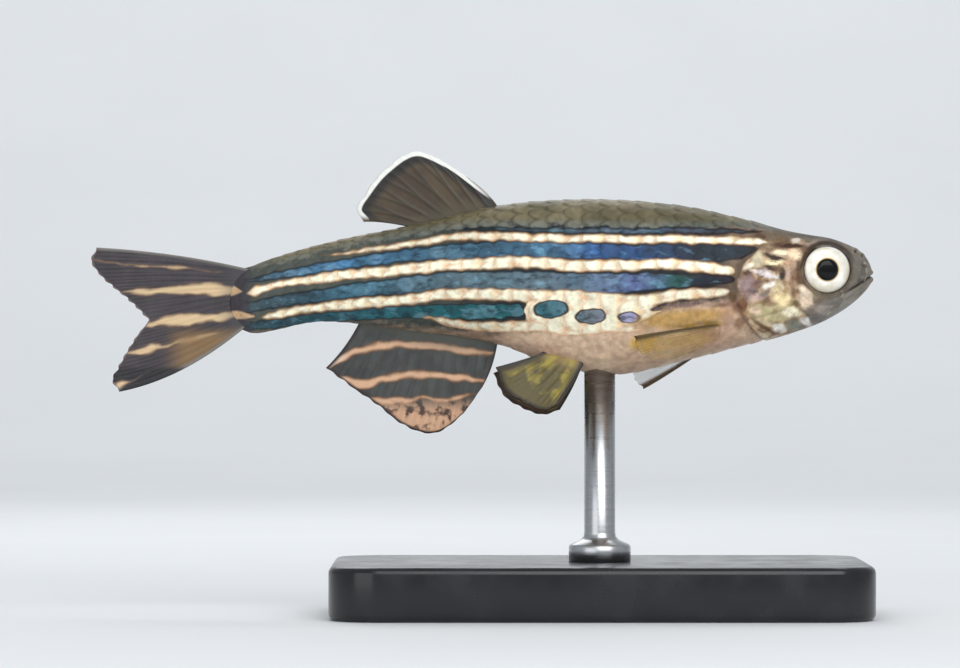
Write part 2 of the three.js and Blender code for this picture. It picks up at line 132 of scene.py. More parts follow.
EYE_AT = (2.28, 0.3)
EYE_SIDE = 1.08
EYE_TURN = 0.22  # the eyes look a little ahead, as the head narrows
EYE_RADIUS = 1.2
MOUTH_CORNER = (1.3, -0.82)
NOSTRILS = [(0.52, 0.98, 0.07), (0.84, 1.2, 0.09)]
gill_edge = through([(-3.4, 4.6), (-2.9, 5.5), (-2.2, 6.15), (-1.4, 6.55), (-0.4, 6.63), (0.6, 6.3),
                     (1.3, 5.6), (1.9, 5.25)])
# heights and depths of the head's forms, in mm
MOUTH_DEPTH = 0.13
UPPER_LIP, LOWER_LIP = 0.06, 0.07
CHEEK_FOLD = 0.05
NOSTRIL_RIM, NOSTRIL_DEPTH = 0.05, 0.16
ORBIT_RIM = 0.05
BONE_SEAMS = (0.03, 0.05, 0.04)  # below the orbit, in front of the gill cover and along its lower plate
GILL_STEP = (0.1, 0.14)  # rise of the gill cover's edge, and fall behind it


def head_relief(s, h):
    """Height in mm of the head's own forms over the plain outline."""
    rise = 0.0
    along_mouth = Vector(MOUTH_CORNER).normalized()
    reach = s * along_mouth.x + h * along_mouth.y
    off = h * along_mouth.x - s * along_mouth.y
    mouth = (1 - ramp(1.3, 1.62, reach)) * (1 if reach > -0.3 else 0)
    rise -= MOUTH_DEPTH * bump(off - 0.02, 0.045) * mouth
    rise += UPPER_LIP * bump(off - 0.17, 0.085) * mouth + LOWER_LIP * bump(off + 0.14, 0.085) * mouth
    # fold from the corner of the mouth down over the cheek
    fold = ramp(-1.75, -1.4, h) * (1 - ramp(-0.95, -0.8, h))
    rise -= CHEEK_FOLD * bump(s - 1.42 - 0.5 * (MOUTH_CORNER[1] - h), 0.07) * fold
    for at_s, at_h, radius in NOSTRILS:
        distance = math.hypot(s - at_s, h - at_h)
        rise += NOSTRIL_RIM * bump(distance - radius * 1.3, 0.05) - NOSTRIL_DEPTH * bump(distance, radius)
    # rim of the orbit and the ring of thin bones round it
    from_eye = math.hypot(s - EYE_AT[0], h - EYE_AT[1])
    rise += ORBIT_RIM * bump(from_eye - 1.36, 0.16)
    below = 1 - ramp(-0.2, 0.6, h)
    rise -= BONE_SEAMS[0] * bump(from_eye - 1.72, 0.06) * below
    # front edge of the gill cover's frame, bent like a hockey stick
    frame_edge = 3.95 - 0.55 * ramp(-1.1, -2.1, h) if h > -1.1 else 3.95 - 0.85 * ramp(0, 1.1, -1.1 - h)
    upright = ramp(-2.3, -1.9, h) * (1 - ramp(0.7, 1.2, h))
    rise -= BONE_SEAMS[1] * bump(s - frame_edge, 0.1) * upright
    lower_seam = -1.75 - 0.28 * (s - 4.6)
    lower_plate = ramp(4.1, 4.4, s) * (1 - ramp(5.9, 6.3, s))
    rise -= BONE_SEAMS[2] * bump(h - lower_seam, 0.06) * lower_plate
    # free rear edge of the gill cover, standing over the shoulder
    past = s - gill_edge(h)
    shown = ramp(-3.4, -2.7, h) * (1 - ramp(1.2, 1.8, h))
    cover = GILL_STEP[0] * math.exp(min(past, 0) / 0.55)
    shoulder = -GILL_STEP[1] * math.exp(-max(past, 0) / 0.25)
    return rise + mix(cover, shoulder, ramp(-0.06, 0.08, past)) * shown


# Scales: columns down the body and rows round it, each scale's rear edge lying over the next one's front.
# There are about 30 columns from gill cover to tail, closer towards the tail.
scale_column = through([(0, 0), (6, 6), (13, 13.6), (20, 22), (26, 30), (31.2, 38)])
SCALE_ROWS = 22  # round the whole body
SCALE_RISE = 0.075
SCALE_LENGTH, SCALE_BREADTH = 0.98, 0.62  # half sizes, in columns and rows
SCALE_SEED, DRIFT_SEED = 7, 376  # fixed, so that each run gives the same scales, stripes and marks
rng = random.Random(SCALE_SEED)
noise.seed_set(DRIFT_SEED)
scale_tones = {}


def scale_at(s, turn):
    """Place on the topmost scale from its front, 0, to its rear edge, 1, nearness of that edge, and tone."""
    column = scale_column(s)
    row = turn * SCALE_ROWS
    found = []
    for k in range(math.floor(column) - 1, math.floor(column) + 3):
        shift = 0.5 * (k % 2)
        j = round(row - shift) + shift
        off = ((column - k) / SCALE_LENGTH) ** 2 + ((row - j) / SCALE_BREADTH) ** 2
        if off < 1:
            key = (k, j % SCALE_ROWS)
            if key not in scale_tones:
                scale_tones[key] = rng.random()
            found.append((off, (column - k + SCALE_LENGTH) / (2 * SCALE_LENGTH), scale_tones[key]))
    top, under = found[0], found[min(1, len(found) - 1)]
    over = ramp(0.78, 1.0, top[0])
    rim = ramp(0.5, 0.8, top[0]) * (1 - 0.7 * over)
    return mix(top[1], under[1], over), rim, mix(top[2], under[2], over)


HEAD_RINGS, HEAD_LENGTH = 150, 6.6
BODY_RINGS = 250
SKIN_SIDES = 208


def station(share):
    ring = share * (HEAD_RINGS + BODY_RINGS)
    if ring < HEAD_RINGS:
        return HEAD_LENGTH * (ring / HEAD_RINGS) ** 1.6
    return mix(HEAD_LENGTH, SKIN_END, (ring - HEAD_RINGS) / BODY_RINGS)


# Stripes of the flank: for each, its middle and its half thickness in mm, by distance behind the snout.
GOLD_STRIPES = [
    ([(4.9, 1.6), (5.6, 1.66), (8.2, 1.72), (12.3, 1.76), (16.5, 1.84), (20, 1.91), (21.6, 1.68),
      (24.7, 1.22), (27, 0.95)],
     [(5.0, -0.1), (5.3, 0.14), (6, 0.2), (8, 0.2), (19, 0.2), (23, 0.15), (25.8, 0.06), (27, -0.05)]),
    ([(6.5, 0.2), (7.4, 0.3), (8.2, 0.4), (10.2, 0.56), (12.3, 0.48), (14.4, 0.48), (16.5, 0.64),
      (18.5, 0.62), (20.6, 0.52), (22.7, 0.31), (26.8, -0.1), (28.9, -0.43), (30.3, -0.8)],
     [(6.6, -0.1), (6.85, 0.17), (7.4, 0.26), (8.5, 0.26), (12, 0.28), (20, 0.29), (26, 0.25),
      (29.4, 0.2), (30, 0.26), (30.5, -0.1)]),
    ([(6.7, -0.8), (9.2, -0.89), (10.2, -1.04), (11.3, -1.24), (12.3, -1.18), (16.5, -0.97), (20.6, -0.89),
      (22.7, -1.14), (26.8, -1.51), (28.9, -1.84), (29.8, -2)],
     [(6.8, -0.1), (7.1, 0.16), (7.8, 0.22), (10, 0.3), (14, 0.36), (20, 0.28), (27, 0.22),
      (29.3, 0.14), (29.9, -0.05)]),
    ([(11, -2.6), (12.3, -2.53), (14.4, -2.38), (16.5, -2.38), (18.5, -2.44), (20.6, -2.22), (21.8, -1.98),
      (23, -2.02)],
     [(10.6, -0.05), (11.6, 0.12), (13, 0.22), (19, 0.22), (21, 0.14), (21.8, 0.02), (22.4, -0.1)]),
    ([(10, -1.7), (13, -1.8), (17, -1.72)],
     [(9.9, -0.1), (10.8, 0.3), (12, 0.72), (16.4, 0.72), (16.75, 0.4), (16.9, -0.1)]),
]
BLUE_STRIPES = [
    ([(5.4, 2.12), (8, 2.15), (12, 2.16), (16, 2.2), (18.5, 2.26), (20.5, 2.2)],
     [(5, -0.05), (6, 0.08), (10, 0.14), (17, 0.12), (20, 0.03), (21.5, -0.05)]),
    ([(5.4, 1.38), (6, 1.25), (7, 1.13), (12.3, 1.13), (16.5, 1.24), (18.5, 1.27), (20.6, 1.14),
      (22.7, 0.98), (26.8, 0.39), (28.9, 0.05), (30.3, -0.2)],
     [(5.5, -0.1), (5.8, 0.14), (6.5, 0.33), (12.3, 0.4), (18.5, 0.42), (22.7, 0.32), (26.8, 0.25),
      (29, 0.2), (30.4, 0.05)]),
    ([(6.7, -0.2), (8.2, -0.2), (10.2, -0.26), (12.3, -0.36), (14.4, -0.36), (16.5, -0.29), (18.5, -0.24),
      (20.6, -0.24), (22.7, -0.47), (24.7, -0.67), (26.8, -0.93), (28.9, -1.24), (30.3, -1.5)],
     [(6.6, -0.1), (6.85, 0.14), (7.6, 0.24), (10.2, 0.4), (12.3, 0.5), (16.5, 0.52), (20.6, 0.44),
      (24.7, 0.38), (30, 0.26)]),
    ([(16.8, -1.68), (18.5, -1.71), (20.6, -1.72), (22.7, -1.74), (24.7, -1.85), (26.8, -2.05),
      (28.9, -2.28), (30.2, -2.45)],
     [(16.75, -0.05), (16.95, 0.2), (17.3, 0.3), (18.5, 0.36), (20.6, 0.34), (24.7, 0.25), (30, 0.22)]),
]
BLUE_SPOTS = [(15.6, -1.64, 0.84, 0.42), (13.67, -1.94, 0.7, 0.35), (11.85, -2.0, 0.56, 0.27),
              (10.5, -1.62, 0.3, 0.1)]
TAIL_STRIPES = [
    ([(30.4, -0.74), (31.5, -0.66), (33, -0.62), (35.1, -0.72), (36.5, -0.7)],
     [(30.4, -0.1), (31, 0.22), (34.5, 0.22), (35.8, 0.12), (36.6, -0.02)]),
    ([(31, 0.12), (33, 0.41), (35.1, 0.5), (36.8, 0.66), (38, 0.8)],
     [(31, -0.05), (32.5, 0.05), (36, 0.06), (37.5, 0.03)]),
    ([(29.6, -1.9), (30.8, -1.9), (33, -2.07), (34.7, -2.24), (36, -2.4)],
     [(29.6, 0.0), (30.6, 0.16), (32, 0.25), (34.3, 0.28), (35.3, 0.1)]),
    ([(31, -2.5), (33, -3.1), (35.1, -3.5), (36.3, -3.75)],
     [(31, -0.05), (32.2, 0.14), (34, 0.1), (35.3, 0.22), (36.4, 0.08)]),
    ([(35, -4.6), (36, -5.05), (36.8, -5.4)],
     [(35, -0.05), (36, 0.05), (36.4, 0.18), (36.9, 0.2)]),
]
TAIL_STRIPES_FROM = 29.9
back_border = through([(0, 2.0), (5, 2.22), (12, 2.3), (18.5, 2.36), (21, 2.15), (24.7, 1.5), (28, 0.75),
                       (31, 0.1)])
belly_border = through([(0, -1.2), (5, -1.3), (8, -1.25), (10.2, -1.6), (13, -2.5), (17, -2.65),
                        (20, -2.62), (24, -2.42), (31, -2.9)])


def curves(stripes):
    return [(through(middle), through(half)) for middle, half in stripes]


gold_curves = curves(GOLD_STRIPES)
blue_curves = curves(BLUE_STRIPES)
tail_curves = curves(TAIL_STRIPES)


def inside_stripes(stripes, s, h):
    """How far inside the nearest stripe a point lies, in mm; negative is outside."""
    return max(half(s) - abs(h - middle(s)) for middle, half in stripes)


def nearest_stripe(stripes, s, h):
    distances = [abs(h - middle(s)) for middle, _ in stripes]
    return distances.index(min(distances))


def inside_spot(s, h, spot):
    at_s, at_h, long, high = spot
    return (1 - math.hypot((s - at_s) / long, (h - at_h) / high)) * min(long, high)


# Small marks of the head and shoulder, two of them painted highlights on the crown: place, half length, half
# height, slope, colour and strength
HEAD_MARKS = [
    # snout, chin and cheek
    (1.0, 0.2, 1.0, 1.1, 0.0, "75726a", 0.8),
    (1.9, -1.5, 1.2, 0.6, -0.5, "8f8b84", 0.8),
    (0.8, -0.35, 0.84, 0.13, -0.63, "4c423a", 0.6),
    (2.6, -2.2, 0.9, 0.35, 0.45, "6f6d6c", 0.7),
    (2.6, -1.6, 0.78, 0.3, 0.0, "a39890", 0.7),
    (3.15, -2.65, 0.78, 0.24, 0.4, "525750", 0.8),
    # rear rim of the orbit and the cheek behind it
    (3.7, 0.25, 0.18, 0.76, 0.0, "5c3c28", 0.9),
    (3.4, -0.5, 0.34, 0.16, 0.8, "6a4a34", 0.85),
    (4.15, 0.05, 0.24, 0.42, 0.0, "c8ab98", 0.8),
    (3.35, -0.8, 0.38, 0.29, 0.4, "fbe6cc", 0.95),
    (3.32, -1.22, 0.4, 0.34, 0.0, "eed8bc", 0.95),
    (3.95, -0.6, 0.13, 0.76, 0.0, "a07a5c", 0.7),
    (3.85, -1.4, 0.27, 0.16, 0.0, "7e6c44", 0.8),
    (3.05, -1.75, 0.45, 0.15, 0.2, "6c6258", 0.5),
    # gill cover
    (5.0, -1.75, 1.1, 0.5, 0.1, "c6ba8e", 0.85),
    (4.45, -1.15, 0.47, 0.44, 0.1, "fce6b2", 0.95),
    (4.65, -0.62, 0.31, 0.32, 0.0, "e0cda4", 0.9),
    (4.3, -0.72, 0.13, 0.27, 0.0, "a88c62", 0.6),
    (4.0, -1.76, 0.5, 0.24, 0.0, "fff6d6", 0.95),
    (3.85, -2.35, 0.5, 0.37, 0.1, "878d80", 0.85),
    (4.58, -2.5, 0.36, 0.22, 0.35, "fffbf0", 0.97),
    (5.15, -2.25, 0.34, 0.17, 0.4, "e8d4ae", 0.85),
    (3.28, -2.2, 0.29, 0.18, 0.5, "f4f0ea", 0.95),
    (5.4, -2.38, 0.69, 0.13, 0.58, "5e4430", 0.85),
    (5.85, -2.62, 0.45, 0.22, 0.4, "cfae8e", 0.85),
    (5.35, -2.85, 0.38, 0.17, 0.35, "e6d8b8", 0.85),
    (5.78, -1.7, 0.28, 0.22, 0.2, "ecd0b6", 0.85),
    (6.3, -1.8, 0.31, 0.22, 0.0, "ba9068", 0.8),
    (5.3, -1.32, 0.56, 0.15, 0.0, "8c7052", 0.7),
    (5.75, -1.06, 0.5, 0.16, 0.0, "cdb0a6", 0.85),
    (6.15, -0.5, 0.45, 0.67, 0.0, "9f8888", 0.9),
    (5.85, -0.72, 0.36, 0.13, 0.1, "5f5058", 0.8),
    (5.75, -0.36, 0.28, 0.15, -0.3, "6e5256", 0.75),
    (5.3, -0.85, 0.29, 0.16, -0.5, "6f6866", 0.8),
    (6.4, -1.35, 0.22, 0.37, 0.0, "6c452f", 0.8),
    (6.15, 0.14, 0.27, 0.13, 0.0, "35251f", 0.85),
    (6.05, 0.5, 0.36, 0.17, -0.3, "fff6e0", 0.9),
    (5.65, 0.75, 0.27, 0.39, 0.0, "ccc4a4", 0.85),
    (5.35, 0.12, 0.62, 0.15, 0.2, "ece4e6", 0.88),
    (5.12, -0.44, 0.36, 0.19, -0.3, "fffaf0", 0.9),
    (5.0, 0.36, 0.46, 0.13, 0.15, "2b2012", 0.97),
    (4.48, 0.06, 0.17, 0.32, 0.0, "28221a", 0.95),
    (4.8, -0.04, 0.24, 0.12, 0.1, "e8e2e0", 0.85),
    # streaks between eye and shoulder
    (4.8, 0.62, 0.56, 0.13, 0.0, "f7e8ba", 0.95),
    (4.2, 0.6, 0.34, 0.15, 0.0, "cda486", 0.85),
    (4.85, 0.88, 0.62, 0.14, 0.2, "2a1608", 0.97),
    (3.85, 1.02, 0.4, 0.29, 0.0, "fadcb8", 0.95),
    (4.6, 1.12, 0.45, 0.16, -0.05, "fff0cc", 0.95),
    (4.15, 1.45, 0.95, 0.15, 0.04, "3a1c12", 0.95),
    (4.5, 1.68, 0.56, 0.13, 0.0, "6a5238", 0.6),
    # two painted highlights on the crown over the eye
    (3.74, 1.7, 0.29, 0.13, 0.0, "e6dacc", 0.85),
    (3.0, 1.52, 0.31, 0.13, 0.0, "9a8a7e", 0.7),
    (5.5, 1.95, 0.31, 0.13, 0.0, "4a2c14", 0.8),
    # shoulder and the amber skin behind the pectoral fin
    (6.85, -1.05, 0.22, 0.3, 0.0, "6c4c26", 0.75),
    (6.6, -1.5, 0.4, 0.3, 0.0, "7c4e34", 0.7),
    (7.4, -1.42, 0.5, 0.12, 0.0, "76583c", 0.7),
    (6.5, -2.3, 0.3, 0.3, 0.0, "7c5634", 0.7),
    (9.2, -1.38, 1.3, 0.12, -0.08, "64484c", 0.65),
    (9.3, -2.05, 2.4, 0.5, -0.1, "c49c58", 0.9),
    (8.4, -2.38, 1.4, 0.18, -0.08, "8f7420", 0.75),
    (11.0, -3.25, 0.95, 0.5, 0.0, "d8ac48", 0.85),
    (9.3, -3.1, 1.5, 0.4, -0.1, "dcb67e", 0.85),
]


def srgb(code):
    """Linear red, green, blue and alpha of an sRGB hex colour."""
    parts = [int(code[i:i + 2], 16) / 255 for i in (0, 2, 4)]
    return [c / 12.92 if c <= 0.04045 else ((c + 0.055) / 1.055) ** 2.4 for c in parts] + [1.0]


def head_mark(s, h):
    """Colour and strength of the head's small marks, the later ones over the earlier."""
    red, green, blue, cover = 0.0, 0.0, 0.0, 0.0
    for at_s, at_h, long, high, slope, code, strength in HEAD_MARKS:
        off_s = s - at_s
        off_h = h - at_h - slope * off_s
        distance = math.hypot(off_s / long, off_h / high)
        if distance > 1.5:
            continue
        here = strength * (1 - ramp(0.55, 1.2, distance))
        colour = mark_colours[code]
        total = here + cover * (1 - here)
        if total > 0:
            red = (colour[0] * here + red * cover * (1 - here)) / total
            green = (colour[1] * here + green * cover * (1 - here)) / total
            blue = (colour[2] * here + blue * cover * (1 - here)) / total
        cover = total
    return red, green, blue, cover


mark_colours = {mark[5]: srgb(mark[5]) for mark in HEAD_MARKS}

bm = bmesh.new()
bm.loops.layers.uv.new("OFBake")
rings = HEAD_RINGS + BODY_RINGS
bmesh.ops.create_grid(bm, x_segments=rings, y_segments=SKIN_SIDES, size=0.5, calc_uvs=True)
names = ("gold", "blue", "which", "back", "belly", "scale", "rim", "tone", "crease_shade_and_eye_ring", "head")
layers = {name: bm.verts.layers.float.new(name) for name in names}
mark_layer = bm.verts.layers.float_color.new("mark")
turn_layer = bm.verts.layers.float.new("turn")
for v in bm.verts:
    s = station(v.co.x + 0.5)
    turn = v.co.y + 0.5
    middle = mix(belly(s), back(s), widest_at(s))
    power = 2 / fullness(s)
    across, up = math.cos(2 * math.pi * turn), math.sin(2 * math.pi * turn)
    side = half_width(s) * math.copysign(abs(across) ** power, across)
    reach = (back(s) if up > 0 else belly(s)) - middle
    # the scaly part ends in a curve, furthest back at mid height
    lag = 0.5 * up ** 2 * ramp(29, SKIN_END, s)
    v[turn_layer] = turn
    v.co = place(s - lag, middle + reach * abs(up) ** power, side)
bmesh.ops.remove_doubles(bm, verts=bm.verts, dist=2e-7)
bmesh.ops.recalc_face_normals(bm, faces=bm.faces)
bm.normal_update()
orbit_ring = []
for v in bm.verts:
    s, h, side = unplace(v.co)
    way = math.copysign(1, side)
    rise = 0.02 * noise.noise(v.co * 900) * ramp(0.5, 2, s) * (1 - ramp(28, 30, s))
    tile, rim, tone = scale_at(s, v[turn_layer])
    past = s - gill_edge(h)
    behind = max(ramp(0.1, 0.6, past), ramp(1.2, 2.0, h) * ramp(4.6, 5.4, s))
    scaled = behind * (1 - ramp(29.4, 30.4, s))
    rise += SCALE_RISE * (tile - 0.5) * scaled * min(1, half_width(s) / 1.2)
    v[layers["scale"]] = mix(0.5, tile, scaled)
    v[layers["rim"]] = rim * scaled
    v[layers["tone"]] = mix(0.5, tone, scaled)
    v[layers["head"]] = mix(ramp(0.06, -0.1, past), 1 - ramp(3.0, 6.0, s), ramp(1.0, 1.7, h))
    from_eye = math.hypot(s - EYE_AT[0], h - EYE_AT[1])
    if s < 8.5:
        relief = head_relief(s, h)
        rise += relief
        # painted shade in the head's grooves, pits and folds, by their depth; round the eye a ring of dark
        # skin with painted shade, heavier above and behind it
        dark = 0.5 + 0.5 * ramp(0.3, 1.2, h) + 0.4 * ramp(2.4, 3.4, s) * ramp(-0.9, -0.4, h)
        orbit = dark * bump(from_eye - 1.27, 0.13)
        v[layers["crease_shade_and_eye_ring"]] = min(1, max(orbit, -relief * mix(5, 9, ramp(4.5, 3.5, s))))
    socket = 1 - ramp(EYE_RADIUS - 0.14, EYE_RADIUS + 0.08, from_eye)
    v.co += v.normal * rise * MM
    if from_eye < 1.6:
        floor_side = EYE_SIDE + 0.1 + EYE_TURN * (s - EYE_AT[0])
        v.co.y = mix(v.co.y, way * floor_side * MM, socket)
        orbit_ring.append(v)
    # stripes waver a little, and their edges swell on each scale
    swell = 0.02 * math.cos(2 * math.pi * scale_column(s))
    sway = noise.noise_vector(Vector((s * 1.1, h * 1.1, way))) * 0.07
    sway += noise.noise_vector(Vector((s * 3.5, h * 3.5, way))) * 0.045
    at_s, at = s + sway.x, h + sway.y
    spots = max(inside_spot(at_s + 2 * sway.z, at + sway.x, spot) for spot in BLUE_SPOTS)
    gold = min(inside_stripes(gold_curves, at_s, at) + swell, -3 * spots)
    tail_gold = inside_stripes(tail_curves, s, at) if s > TAIL_STRIPES_FROM else -1
    v[layers["gold"]] = max(gold, tail_gold)
    v[layers["blue"]] = max(inside_stripes(blue_curves, at_s, at) - swell, spots)
    v[layers["which"]] = nearest_stripe(blue_curves, s, h)
    v[layers["back"]] = at - back_border(s)
    v[layers["belly"]] = belly_border(s) - at
    drift = noise.noise_vector(Vector((s * 2, h * 2, way))) * 0.12
    drift += noise.noise_vector(Vector((s * 5, h * 5, way))) * 0.045
    red, green, blue, cover = head_mark(s + drift.x, h + drift.y) if s < 13 else (0, 0, 0, 0)
    v[mark_layer] = (red, green, blue, cover * ramp(1.22, 1.42, from_eye))
axes = {"use_axis_x": True, "use_axis_y": True, "use_axis_z": True}
for _ in range(3):
    bmesh.ops.smooth_vert(bm, verts=orbit_ring, factor=0.5, **axes)


def make_object(bm, name, material):
    mesh = bpy.data.meshes.new(name)
    bm.to_mesh(mesh)
    bm.free()
    mesh.materials.append(material)
    for face in mesh.polygons:
        face.use_smooth = True
    made = bpy.data.objects.new(name, mesh)
    bpy.context.scene.collection.objects.link(made)
    return made


def finish_mesh(bm, name, material):
    """Turns a closed bmesh, its faces outwards, into an object that rides with the fish."""
    if bm.calc_volume(signed=True) < 0:
        bmesh.ops.reverse_faces(bm, faces=bm.faces)
    piece = make_object(bm, name, material)
    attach(piece, "root")
    return piece


def node(material, kind, settings=None, links=None):
    """Adds one node with its settings, and links other nodes' outputs into its inputs."""
    tree = material.node_tree
    made = tree.nodes.new(kind)
    for key, value in (settings or {}).items():
        if isinstance(key, int) or key in made.inputs:
            made.inputs[key].default_value = value
        else:
            setattr(made, key, value)
    for key, output in (links or {}).items():
        tree.links.new(output, made.inputs[key])
    return made


def new_material(name, settings):
    """A material with only its shader and output, and the shader's constants."""
    material = bpy.data.materials.new(name)
    material.use_nodes = True
    shader = material.node_tree.nodes["Principled BSDF"]
    for key, value in settings.items():
        shader.inputs[key].default_value = value
    return material, shader


def feed(shader, key, output):
    """Links a node's output into one of the shader's inputs."""
    shader.id_data.links.new(output, shader.inputs[key])


def object_coords(material):
    return node(material, "ShaderNodeTexCoord").outputs["Object"]


def clouds(material, scale, detail, stretch=(1.0, 1.0, 1.0), roughness=0.5):
    """Noise from 0 to 1, whose spots are about 1 / scale metres wide."""
    spots = node(material, "ShaderNodeMapping", {"Scale": stretch}, {"Vector": object_coords(material)})
    settings = {"Scale": scale, "Detail": detail, "Roughness": roughness}
    return node(material, "ShaderNodeTexNoise", settings, {"Vector": spots.outputs["Vector"]}).outputs["Fac"]


def attributes(material, names):
    """The mesh's own values, by their names."""
    found = {}
    for name in names:
        found[name] = node(material, "ShaderNodeAttribute", {"attribute_name": name}).outputs["Fac"]
    return found


# Living fish skin: clear mucus over pigment and over silvery crystals, so the gold and blue gleam and the
# back and belly are duller. Stripe edges are soft over a tenth of a millimetre.
skin, shader = new_material("wet scaled skin", {
    "Specular IOR Level": 0.2,
    "Coat Weight": 0.1,
    "Coat Roughness": 0.25,
    "Subsurface Weight": 0.12,
    "Subsurface Scale": 0.6 * MM,
})
attribute = attributes(skin, names)
mark = node(skin, "ShaderNodeAttribute", {"attribute_name": "mark"})
speckle = clouds(skin, 1800.0, 4.0, roughness=0.6)
patches = clouds(skin, 420.0, 2.0)


def blend(material, share, first, second):
    """Mixes two colours, each a hex code or another node's output."""
    mixer = node(material, "ShaderNodeMix", {"data_type": "RGBA"})
    for socket, value in ((mixer.inputs[6], first), (mixer.inputs[7], second)):
        if isinstance(value, str):
            socket.default_value = srgb(value)
        else:
            material.node_tree.links.new(value, socket)
    material.node_tree.links.new(share, mixer.inputs[0])
    return mixer.outputs[2]


def spread(material, value, low, high, to_low=0.0, to_high=1.0):
    """Maps a value from one range to another with an S-curve."""
    settings = {"interpolation_type": "SMOOTHSTEP", "From Min": low, "From Max": high, "To Min": to_low,
                "To Max": to_high}
    return node(material, "ShaderNodeMapRange", settings, {"Value": value}).outputs["Result"]


def maths(material, operation, first, second):
    """One sum of two values or outputs."""
    made = node(material, "ShaderNodeMath", {"operation": operation})
    for index, value in enumerate((first, second)):
        if isinstance(value, (int, float)):
            made.inputs[index].default_value = value
        else:
            material.node_tree.links.new(value, made.inputs[index])
    return made.outputs["Value"]


fine = maths(skin, "SUBTRACT", speckle, 0.5)
coords = object_coords(skin)
where = node(skin, "ShaderNodeSeparateXYZ", {}, {"Vector": coords})

flank = blend(skin, spread(skin, where.outputs["X"], -12 * MM, -2 * MM), "4d524c", "20262a")
flank = blend(skin, spread(skin, where.outputs["X"], 5.3 * MM, 6.6 * MM), flank, "7c6a58")
olive = blend(skin, spread(skin, patches, 0.35, 0.65), "605a42", "7d745a")
slate = spread(skin, attribute["back"], 0.5, 0.05, 0.0, 0.6)
olive = blend(skin, slate, olive, "6d7674")
olive = blend(skin, maths(skin, "MULTIPLY", attribute["rim"], 0.6), olive, "3a3524")
pale = blend(skin, spread(skin, patches, 0.3, 0.7), "c8a28c", "dcc0a2")
under_tail = spread(skin, where.outputs["X"], -4 * MM, -6 * MM, 0.0, 0.7)
pale = blend(skin, under_tail, pale, "857463")
colour = blend(skin, spread(skin, maths(skin, "ADD", attribute["back"], fine), -0.1, 0.14), flank, olive)
colour = blend(skin, spread(skin, maths(skin, "ADD", attribute["belly"], fine), -0.3, 0.3), colour, pale)


def along_body(stops):
    """A colour that changes from the head to the tail, from distances behind the snout and hex codes."""
    ends = {"From Min": ROD_STATION * MM, "From Max": (ROD_STATION - SKIN_END) * MM}
    share = node(skin, "ShaderNodeMapRange", ends, {"Value": where.outputs["X"]})
    shades = node(skin, "ShaderNodeValToRGB", {}, {"Fac": share.outputs["Result"]})
    elements = shades.color_ramp.elements
    for element, (s, code) in zip(elements, (stops[0], stops[-1])):
        element.position = s / SKIN_END
        element.color = srgb(code)
    for s, code in stops[1:-1]:
        elements.new(s / SKIN_END).color = srgb(code)
    return shades.outputs["Color"]


# The upper blue is nearly black at the shoulder and clear blue at mid body, the middle one lilac and slate,
# the lower one teal.
top_line = along_body([(5, "3c4038"), (10, "46566a"), (16, "465a66"), (20, "3a4440")])
upper = along_body([(5.5, "1d201c"), (7, "22303c"), (8.5, "16202b"), (11, "22406a"), (13.5, "38649c"),
                    (15.5, "466f8c"), (21, "3f6478"), (25.5, "4a7fa6"), (29.5, "4a6676")])
centre = along_body([(7, "2a1c28"), (8.6, "2c2834"), (9.6, "2f5c54"), (11.5, "6472a2"), (14, "687c90"),
                     (16.5, "5c6e76"), (21, "526a74"), (25, "3f6e82"), (30, "46565c")])
lower = along_body([(10.5, "6a5a60"), (11.8, "a4a2c4"), (13.7, "8c98a0"), (15.2, "3a6a74"), (19, "1f666a"),
                    (24, "28626c"), (30, "3a5660")])
blue = blend(skin, spread(skin, attribute["which"], 0.4, 0.6), top_line, upper)
blue = blend(skin, spread(skin, attribute["which"], 1.4, 1.6), blue, centre)
blue = blend(skin, spread(skin, attribute["which"], 2.4, 2.6), blue, lower)
blue = blend(skin, spread(skin, patches, 0.5, 0.75, 0.0, 0.35), blue, "2a5c66")
lighter = maths(skin, "MULTIPLY", spread(skin, attribute["tone"], 0.5, 1.0, 0.0, 0.25),
                spread(skin, where.outputs["X"], 3.5 * MM, 1 * MM))
blue = blend(skin, lighter, blue, "8fb0c4")
flecks = clouds(skin, 2600.0, 3.0, (0.6, 1.0, 1.4))
blue = blend(skin, spread(skin, flecks, 0.52, 0.66, 0.0, 0.55), blue, "14202c")
blue = blend(skin, spread(skin, flecks, 0.42, 0.3, 0.0, 0.35), blue, "7fb4cc")
blue = blend(skin, spread(skin, attribute["tone"], 0.4, 0.0, 0.0, 0.35), blue, "18222e")
blue = blend(skin, maths(skin, "MULTIPLY", attribute["rim"], 0.3), blue, "16202a")
edge = blend(skin, spread(skin, where.outputs["X"], 2 * MM, 5 * MM), "141a1e", "261410")
inward = maths(skin, "MULTIPLY", attribute["blue"], spread(skin, attribute["which"], 2.4, 2.6, 1.0, 2.0))
deep = blend(skin, spread(skin, inward, 0.0, 0.14), edge, blue)
colour = blend(skin, spread(skin, attribute["blue"], -0.06, 0.05), colour, deep)

# gold is pale, with a painted glint that makes it nearly white in the middle of each scale, and rosy between
# scales and at the stripe's edges
rich = blend(skin, spread(skin, patches, 0.4, 0.6), "f4d8a4", "e6b084")
# painted glint: whitens each scale from its middle back
rich = blend(skin, spread(skin, attribute["scale"], 0.3, 0.65, 0.0, 0.95), rich, "fffbe0")
rich = blend(skin, maths(skin, "MULTIPLY", attribute["rim"], 0.6), rich, "c88e62")
border = blend(skin, spread(skin, where.outputs["Z"], 14.3 * MM, 13.9 * MM), "86603c", "d4ac88")
gold = blend(skin, spread(skin, attribute["gold"], -0.02, 0.15), border, rich)
colour = blend(skin, spread(skin, attribute["gold"], -0.06, 0.04), colour, gold)
fin_side = spread(skin, where.outputs["X"], -16.6 * MM, -17.4 * MM)
plain_tail = blend(skin, spread(skin, attribute["gold"], -0.06, 0.06), "3f3b40", "c8a680")
colour = blend(skin, fin_side, colour, plain_tail)

